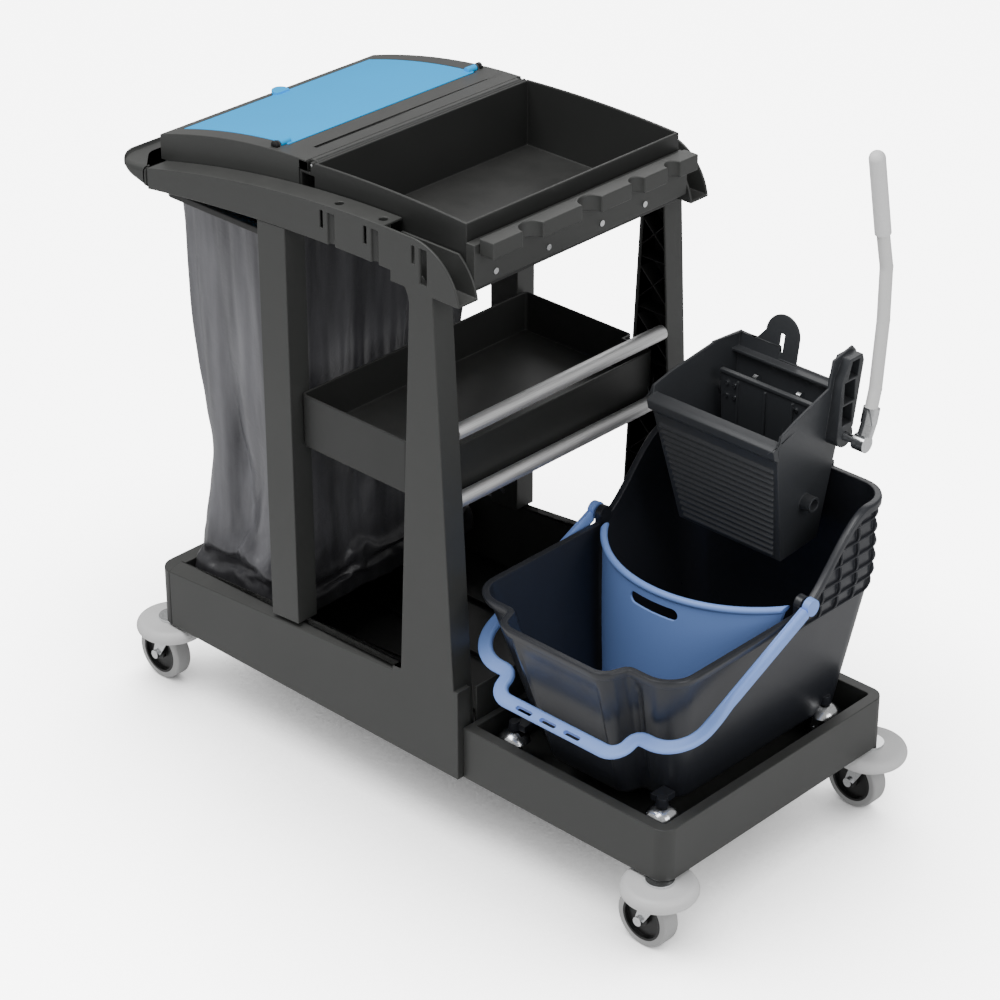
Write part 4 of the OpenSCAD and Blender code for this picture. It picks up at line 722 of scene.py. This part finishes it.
def bucket_outline(step):
    """Evenly spaced points, with outward normals, round the rim: lobes, lip and straight back."""
    right = []

    def arc(cx, cy, r, a0, a1, n=14):
        for k in range(n + 1):
            a = math.radians(a0 + (a1 - a0) * k / n)
            right.append((cx + r * math.cos(a), cy + r * math.sin(a)))

    right.append((0, -SPOUT_FRONT))
    arc(SPOUT_HALF - 0.030, -SPOUT_FRONT + 0.030, 0.030, -90, -30)
    arc(SPOUT_HALF + 0.0160, -LOBE_FRONT - 0.0145, 0.0145, 150, 90)
    arc(HALF - 0.05, -LOBE_FRONT + 0.05, 0.05, -90, 0)
    arc(HALF - 0.05, RIM_BACK - 0.05, 0.05, 0, 90)
    right.append((0, RIM_BACK))
    loop = right + [(-x, y) for x, y in right[-2:0:-1]]
    lengths = [math.dist(a, b) for a, b in zip(loop, loop[1:] + loop[:1])]
    total = sum(lengths)
    count = round(total / step)
    points, k, done = [], 0, 0.0
    for i in range(count):
        d = total * i / count
        while done + lengths[k] < d:
            done += lengths[k]
            k += 1
        f = (d - done) / max(lengths[k], 1e-9)
        a, b = loop[k], loop[(k + 1) % len(loop)]
        points.append(Vector((a[0] + (b[0] - a[0]) * f, a[1] + (b[1] - a[1]) * f)))
    normals = []
    for i in range(count):
        t = points[(i + 1) % count] - points[i - 1]
        normals.append(Vector((t.y, -t.x)).normalized())
    return points, normals


def rim_height(y):
    f = min(1, max(0, (y - 0.030) / 0.175))
    return RIM_Z + (BACK_Z - RIM_Z) * (1 - math.cos(math.pi * f)) / 2


def on_wall(p, nrm, z, out=0.0):
    """Point of the tapering wall at height z, moved outwards."""
    f = min(1, (z - FOOT_Z) / (RIM_Z - FOOT_Z))
    x = p.x * (TAPER_X + (1 - TAPER_X) * f)
    y = TAPER_Y0 + (p.y - TAPER_Y0) * (TAPER_Y + (1 - TAPER_Y) * f)
    return Vector((BUCKET_X + x + nrm.x * out, y + nrm.y * out, z))


bucket_points, bucket_normals = bucket_outline(0.0042)
bucket_count = len(bucket_points)


def flute(p, z):
    """Shallow upright panels pressed into the lip and the lobes."""
    down = min(1, max(0, (rim_height(p.y) - 0.03 - z) / 0.02)) * min(1, max(0, (z - FOOT_Z - 0.035) / 0.02))
    if p.y < -0.27 and abs(p.x) < 0.086:
        return -0.0025 * down
    if p.y < -0.20 and 0.128 < abs(p.x) < 0.140:
        return -0.003 * down
    return 0.0


shell_shape = bmesh.new()


def ring_of(place):
    return [shell_shape.verts.new(place(p, nrm)) for p, nrm in zip(bucket_points, bucket_normals)]


def join_rings(a, b):
    for i in range(bucket_count):
        k = (i + 1) % bucket_count
        shell_shape.faces.new((a[i], a[k], b[k], b[i]))


sections = [lambda p, nrm: on_wall(p, nrm, FOOT_Z, -0.008), lambda p, nrm: on_wall(p, nrm, FOOT_Z + 0.001, -0.004),
            lambda p, nrm: on_wall(p, nrm, FOOT_Z + 0.004, -0.001)]
WALL_ROWS = 46
for j in range(WALL_ROWS + 1):
    t = j / WALL_ROWS
    sections.append(lambda p, nrm, t=t: on_wall(
        p, nrm, FOOT_Z + 0.008 + (rim_height(p.y) - 0.0152 - FOOT_Z - 0.008) * t,
        flute(p, FOOT_Z + 0.008 + (rim_height(p.y) - 0.0152 - FOOT_Z - 0.008) * t)))
for out, drop in ((0.0066, 0.0148), (0.0080, 0.0136), (0.0084, 0.0045), (0.0076, 0.0018), (0.0054, 0.0), (-0.002, 0.0),
                  (-0.0038, 0.0007), (-0.0045, 0.003)):
    sections.append(lambda p, nrm, out=out, drop=drop: on_wall(p, nrm, rim_height(p.y) - drop, out))
for j in range(1, 13):
    t = 1 - j / 12
    sections.append(lambda p, nrm, t=t: on_wall(
        p, nrm, FOOT_Z + 0.009 + (rim_height(p.y) - 0.01 - FOOT_Z - 0.009) * t, -WALL))
sections.append(lambda p, nrm: on_wall(p, nrm, FOOT_Z + WALL, -WALL - 0.006))
shell_rings = [ring_of(s) for s in sections]
for a, b in zip(shell_rings, shell_rings[1:]):
    join_rings(a, b)
for ring, way in ((shell_rings[0], -1), (shell_rings[-1], 1)):
    last = ring
    for share in (0.9, 0.6, 0.3):
        centre = Vector((BUCKET_X, 0, ring[0].co.z + 0.002 * way * (share < 0.9)))
        inner = [shell_shape.verts.new(centre + Vector(((v.co.x - BUCKET_X) * share, v.co.y * share, 0))) for v in ring]
        for i in range(bucket_count):
            k = (i + 1) % bucket_count
            shell_shape.faces.new((last[i], last[k], inner[k], inner[i])[::way])
        last = inner
    shell_shape.faces.new(last[::way])


def bar_along(indices, height, thick=0.0046, proud=0.0042):
    """Raised rib that follows the wall through the given points, closed flat at both ends."""
    rows = []
    for i in indices:
        p, nrm = bucket_points[i % bucket_count], bucket_normals[i % bucket_count]
        z = height(i, p)
        rows.append([shell_shape.verts.new(on_wall(p, nrm, z + dz, out)) for dz, out in
                     ((-thick / 2, -0.001), (-thick / 2 + 0.0006, proud * 0.8), (0, proud), (thick / 2 - 0.0006, proud * 0.8),
                      (thick / 2, -0.001))])
    for a, b in zip(rows, rows[1:]):
        for k in range(4):
            shell_shape.faces.new((a[k], b[k], b[k + 1], a[k + 1]))
    shell_shape.faces.new(rows[0][::-1])
    shell_shape.faces.new(rows[-1])


def post_at(i, top, low, half=0.0024):
    """Short upright rib between two rows of the grip, bellied out between them."""
    a, b = bucket_points[i % bucket_count], bucket_points[(i + 1) % bucket_count]
    side = Vector(((b - a).normalized().x, (b - a).normalized().y, 0)) * half
    nrm = bucket_normals[i % bucket_count]
    out = Vector((nrm.x, nrm.y, 0))
    rows = []
    for share, proud in ((0, 0.003), (0.14, 0.0056), (0.5, 0.0072), (0.86, 0.0056), (1, 0.003)):
        base = on_wall(a, nrm, low + (top - low) * share)
        rows.append([shell_shape.verts.new(base + q) for q in
                     (-side - out * 0.001, -side * 0.9 + out * proud * 0.8, out * proud,
                      side * 0.9 + out * proud * 0.8, side - out * 0.001)])
    for lower, upper in zip(rows, rows[1:]):
        for k in range(5):
            m = (k + 1) % 5
            shell_shape.faces.new((lower[k], lower[m], upper[m], upper[k]))
    shell_shape.faces.new(rows[0][::-1])
    shell_shape.faces.new(rows[-1])


GRIP_ROWS, GRIP_PITCH, GRIP_LOW, GRIP_START, BRICK = 6, 0.0265, 0.438, 0.047, 10
grip = [i for i in range(bucket_count) if bucket_points[i].y > GRIP_START]
for row in range(GRIP_ROWS):
    z = GRIP_LOW + GRIP_PITCH * row
    run = [i for i in grip if rim_height(bucket_points[i].y) - 0.013 > z]
    bar_along(run, lambda i, p, z=z: z)
    for i in grip[2::BRICK]:
        top = min(z + GRIP_PITCH, rim_height(bucket_points[i].y) - 0.010)
        if top - z > 0.009:
            post_at(i, top - 0.0015, z + 0.0015)

# lugs over the castor cups, webs beside them, and ears for the bail on short necks
CUP_TOP = 0.220
for sx in (-1, 1):
    for y in (-0.211, 0.190):
        lug = bmesh.ops.create_cone(shell_shape, cap_ends=True, segments=24, radius1=0.0105, radius2=0.0085, depth=0.014,
                                    matrix=Matrix.Translation((BUCKET_X + sx * 0.156, y, CUP_TOP + 0.007)))
        web = bmesh.ops.create_cube(shell_shape, size=1, matrix=Matrix.Translation(
            (BUCKET_X + sx * 0.145, y + (0.014 if y < 0 else 0), CUP_TOP + 0.006)) @ Matrix.Diagonal(
            (0.024, 0.030 if y < 0 else 0.016, 0.011, 1)))
    ear = bmesh.ops.create_cone(shell_shape, cap_ends=True, segments=40, radius1=0.014, radius2=0.0132, depth=0.012,
                                matrix=Matrix.Translation((BUCKET_X + sx * 0.2055, 0.050, 0.489))
                                @ Matrix.Rotation(math.radians(90 * sx), 4, "Y"))
    neck = bmesh.ops.create_cube(shell_shape, size=1, matrix=Matrix.Translation(
        (BUCKET_X + sx * 0.2055, 0.050, 0.474)) @ Matrix.Diagonal((0.0116, 0.0272, 0.030, 1)))
shell_mesh = bpy.data.meshes.new("bucket_body")
bmesh.ops.recalc_face_normals(shell_shape, faces=shell_shape.faces)
shell_shape.to_mesh(shell_mesh)
shell_shape.free()
shell = bpy.data.objects.new("bucket_body", shell_mesh)
bpy.context.collection.objects.link(shell)
finish_shading(shell, 40)
stand_in(shell, "bucket_shell", bucket_black)

refinish("bucket_castor_cups", bright_zinc)
for corner in ("left_near", "left_far", "right_near", "right_far"):
    refinish("bucket_fork_" + corner, bright_zinc)
    refinish("bucket_wheel_" + corner, hub_black)

# ---- Bail and divider ----------------------------------------------------------------------
# The bail is a blue strap moulding with a raised ridge and three finger slots in its front.
# The divider is a thin curved wall with a beaded top edge and a rimmed hand hole.

bail_blue = moulded_plastic("bail_blue", (0.27, 0.45, 1.0), 0.42, (0.38, 0.55, 0.95), tone=0.05,
                            wear=0.3, dust=0.02)
BAIL_Y, BAIL_Z, BAIL_DROP = 0.050, 0.489, math.radians(25)


def bail_line(step=0.006):
    """Middle line of the strap in its own plane: arm, lobe, lip, and the same mirrored."""
    half, reach, lobe = 0.222, 0.372, 0.046
    lip = 0.1285
    right = [(half, -0.014)]

    def arc(cx, cy, r, a0, a1, n=12):
        for k in range(n + 1):
            a = math.radians(a0 + (a1 - a0) * k / n)
            right.append((cx + r * math.cos(a), cy + r * math.sin(a)))

    arc(half - 0.064, -reach + lobe + 0.064, 0.064, 0, -90)
    arc(lip + 0.0175, -reach + lobe - 0.016, 0.016, 90, 166, 8)
    arc(lip - 0.028, -reach + 0.030, 0.030, -14, -90, 10)
    right.append((0, -reach))
    loop = right + [(-x, y) for x, y in right[-2::-1]]
    lengths = [math.dist(a, b) for a, b in zip(loop, loop[1:])]
    total = sum(lengths)
    count = round(total / step)
    points, k, done = [], 0, 0.0
    for i in range(count + 1):
        d = min(total * i / count, total - 1e-9)
        while done + lengths[k] < d:
            done += lengths[k]
            k += 1
        f = (d - done) / lengths[k]
        points.append(Vector((loop[k][0] + (loop[k + 1][0] - loop[k][0]) * f,
                              loop[k][1] + (loop[k + 1][1] - loop[k][1]) * f)))
    return points, total


bail_points, bail_length = bail_line()
bail_turn = Matrix.Translation((BUCKET_X, BAIL_Y, BAIL_Z)) @ Matrix.Rotation(BAIL_DROP, 4, "X")
bail_shape = bmesh.new()
bail_rows = []
for i, p in enumerate(bail_points):
    a, b = bail_points[max(i - 1, 0)], bail_points[min(i + 1, len(bail_points) - 1)]
    way = (b - a).normalized()
    out = Vector((-way.y, way.x))
    if out.dot(Vector((p.x, p.y + 0.15))) < 0:
        out = -out
    s = i / (len(bail_points) - 1)
    front = min(1, max(0, (min(s, 1 - s) - 0.16) / 0.06))
    front = front * front * (3 - 2 * front)
    wide = 0.0065 + 0.0055 * front
    tall = 0.0105 - 0.0065 * front
    outline = ((wide, tall * 0.35), (wide * 0.8, tall * 0.8), (wide * 0.45, tall), (-wide * 0.25, tall),
               (-wide * 0.42, tall + 0.002), (-wide * 0.72, tall + 0.002), (-wide * 0.9, tall * 0.9), (-wide, tall * 0.5),
               (-wide, -tall * 0.6), (-wide * 0.7, -tall), (wide * 0.6, -tall), (wide, -tall * 0.4))
    bail_rows.append([bail_shape.verts.new(bail_turn @ Vector((p.x + out.x * u, p.y + out.y * u, w))) for u, w in outline])
for a, b in zip(bail_rows, bail_rows[1:]):
    for k in range(12):
        m = (k + 1) % 12
        bail_shape.faces.new((a[k], b[k], b[m], a[m]))
bail_shape.faces.new(bail_rows[0])
bail_shape.faces.new(bail_rows[-1][::-1])
for sx in (-1, 1):
    bmesh.ops.create_cone(bail_shape, cap_ends=True, segments=40, radius1=0.0148, radius2=0.0138, depth=0.012,
                          matrix=Matrix.Translation((BUCKET_X + sx * 0.2225, BAIL_Y, BAIL_Z))
                          @ Matrix.Rotation(math.radians(90 * sx), 4, "Y"))
    bmesh.ops.create_cone(bail_shape, cap_ends=True, segments=24, radius1=0.006, radius2=0.006, depth=0.018,
                          matrix=Matrix.Translation((BUCKET_X + sx * 0.2095, BAIL_Y, BAIL_Z))
                          @ Matrix.Rotation(math.radians(90), 4, "Y"))
bmesh.ops.recalc_face_normals(bail_shape, faces=bail_shape.faces)
bail_mesh = bpy.data.meshes.new("bail_strap")
bail_shape.to_mesh(bail_mesh)
bail_shape.free()
bail = bpy.data.objects.new("bail_strap", bail_mesh)
bpy.context.collection.objects.link(bail)

slots_shape = bmesh.new()
for k in range(3):
    place = bail_turn @ Matrix.Translation((-0.060 + 0.050 * k, -0.3755, 0))
    bmesh.ops.create_cube(slots_shape, size=1, matrix=place @ Matrix.Diagonal((0.033, 0.0076, 0.05, 1)))
bmesh.ops.bevel(slots_shape, geom=[e for e in slots_shape.edges if e.calc_length() > 0.04], offset=0.0036,
                           segments=4, profile=0.5, affect="EDGES")
slots_mesh = bpy.data.meshes.new("slot_cutters")
slots_shape.to_mesh(slots_mesh)
slots_shape.free()
slots = bpy.data.objects.new("slot_cutters", slots_mesh)
bpy.context.collection.objects.link(slots)
cut = bail.modifiers.new("slots", "BOOLEAN")
cut.operation = "DIFFERENCE"
cut.solver = "EXACT"
cut.object = slots
cut_mesh = bpy.data.meshes.new_from_object(bail.evaluated_get(bpy.context.evaluated_depsgraph_get()))
bail.modifiers.clear()
bail.data = cut_mesh
bpy.data.objects.remove(slots)
finish_shading(bail, 50)
stand_in(bail, "bucket_bail", bail_blue)

divider = round_edges("bucket_divider", 0.0011, bail_blue, 2)

# ---- Wringer -------------------------------------------------------------------------------
# Louvred hopper hooked over the bucket's back, with a plate that squeezes the mop.

wringer_black = moulded_plastic("wringer_black", (0.040, 0.043, 0.048), 0.4, (0.16, 0.17, 0.18),
                                grain=800, wear=0.45)
round_edges("wringer_hopper", 0.0012, wringer_black)
round_edges("press_plate", 0.001, wringer_black)
refinish("press_bolts", bright_zinc)

# ---- Lever ---------------------------------------------------------------------------------
# Painted tube clamped to the crank on the wringer's shaft, with a soft pale grip.

refinish("lever_shaft", bright_zinc)
refinish("lever_clamp", bright_zinc)
lever_paint = moulded_plastic("lever_paint", (0.88, 0.88, 0.87), 0.35, (0.5, 0.5, 0.5), tone=0.05,
                              wear=0.2, dust=0.0)
refinish("lever_tube", lever_paint)
grip_pale = moulded_plastic("grip_pale", (0.93, 0.93, 0.93), 0.5, (0.7, 0.7, 0.7), grain=500,
                            depth=0.0002, tone=0.08, wear=0.1, dust=0.0)
refinish("lever_grip", grip_pale)
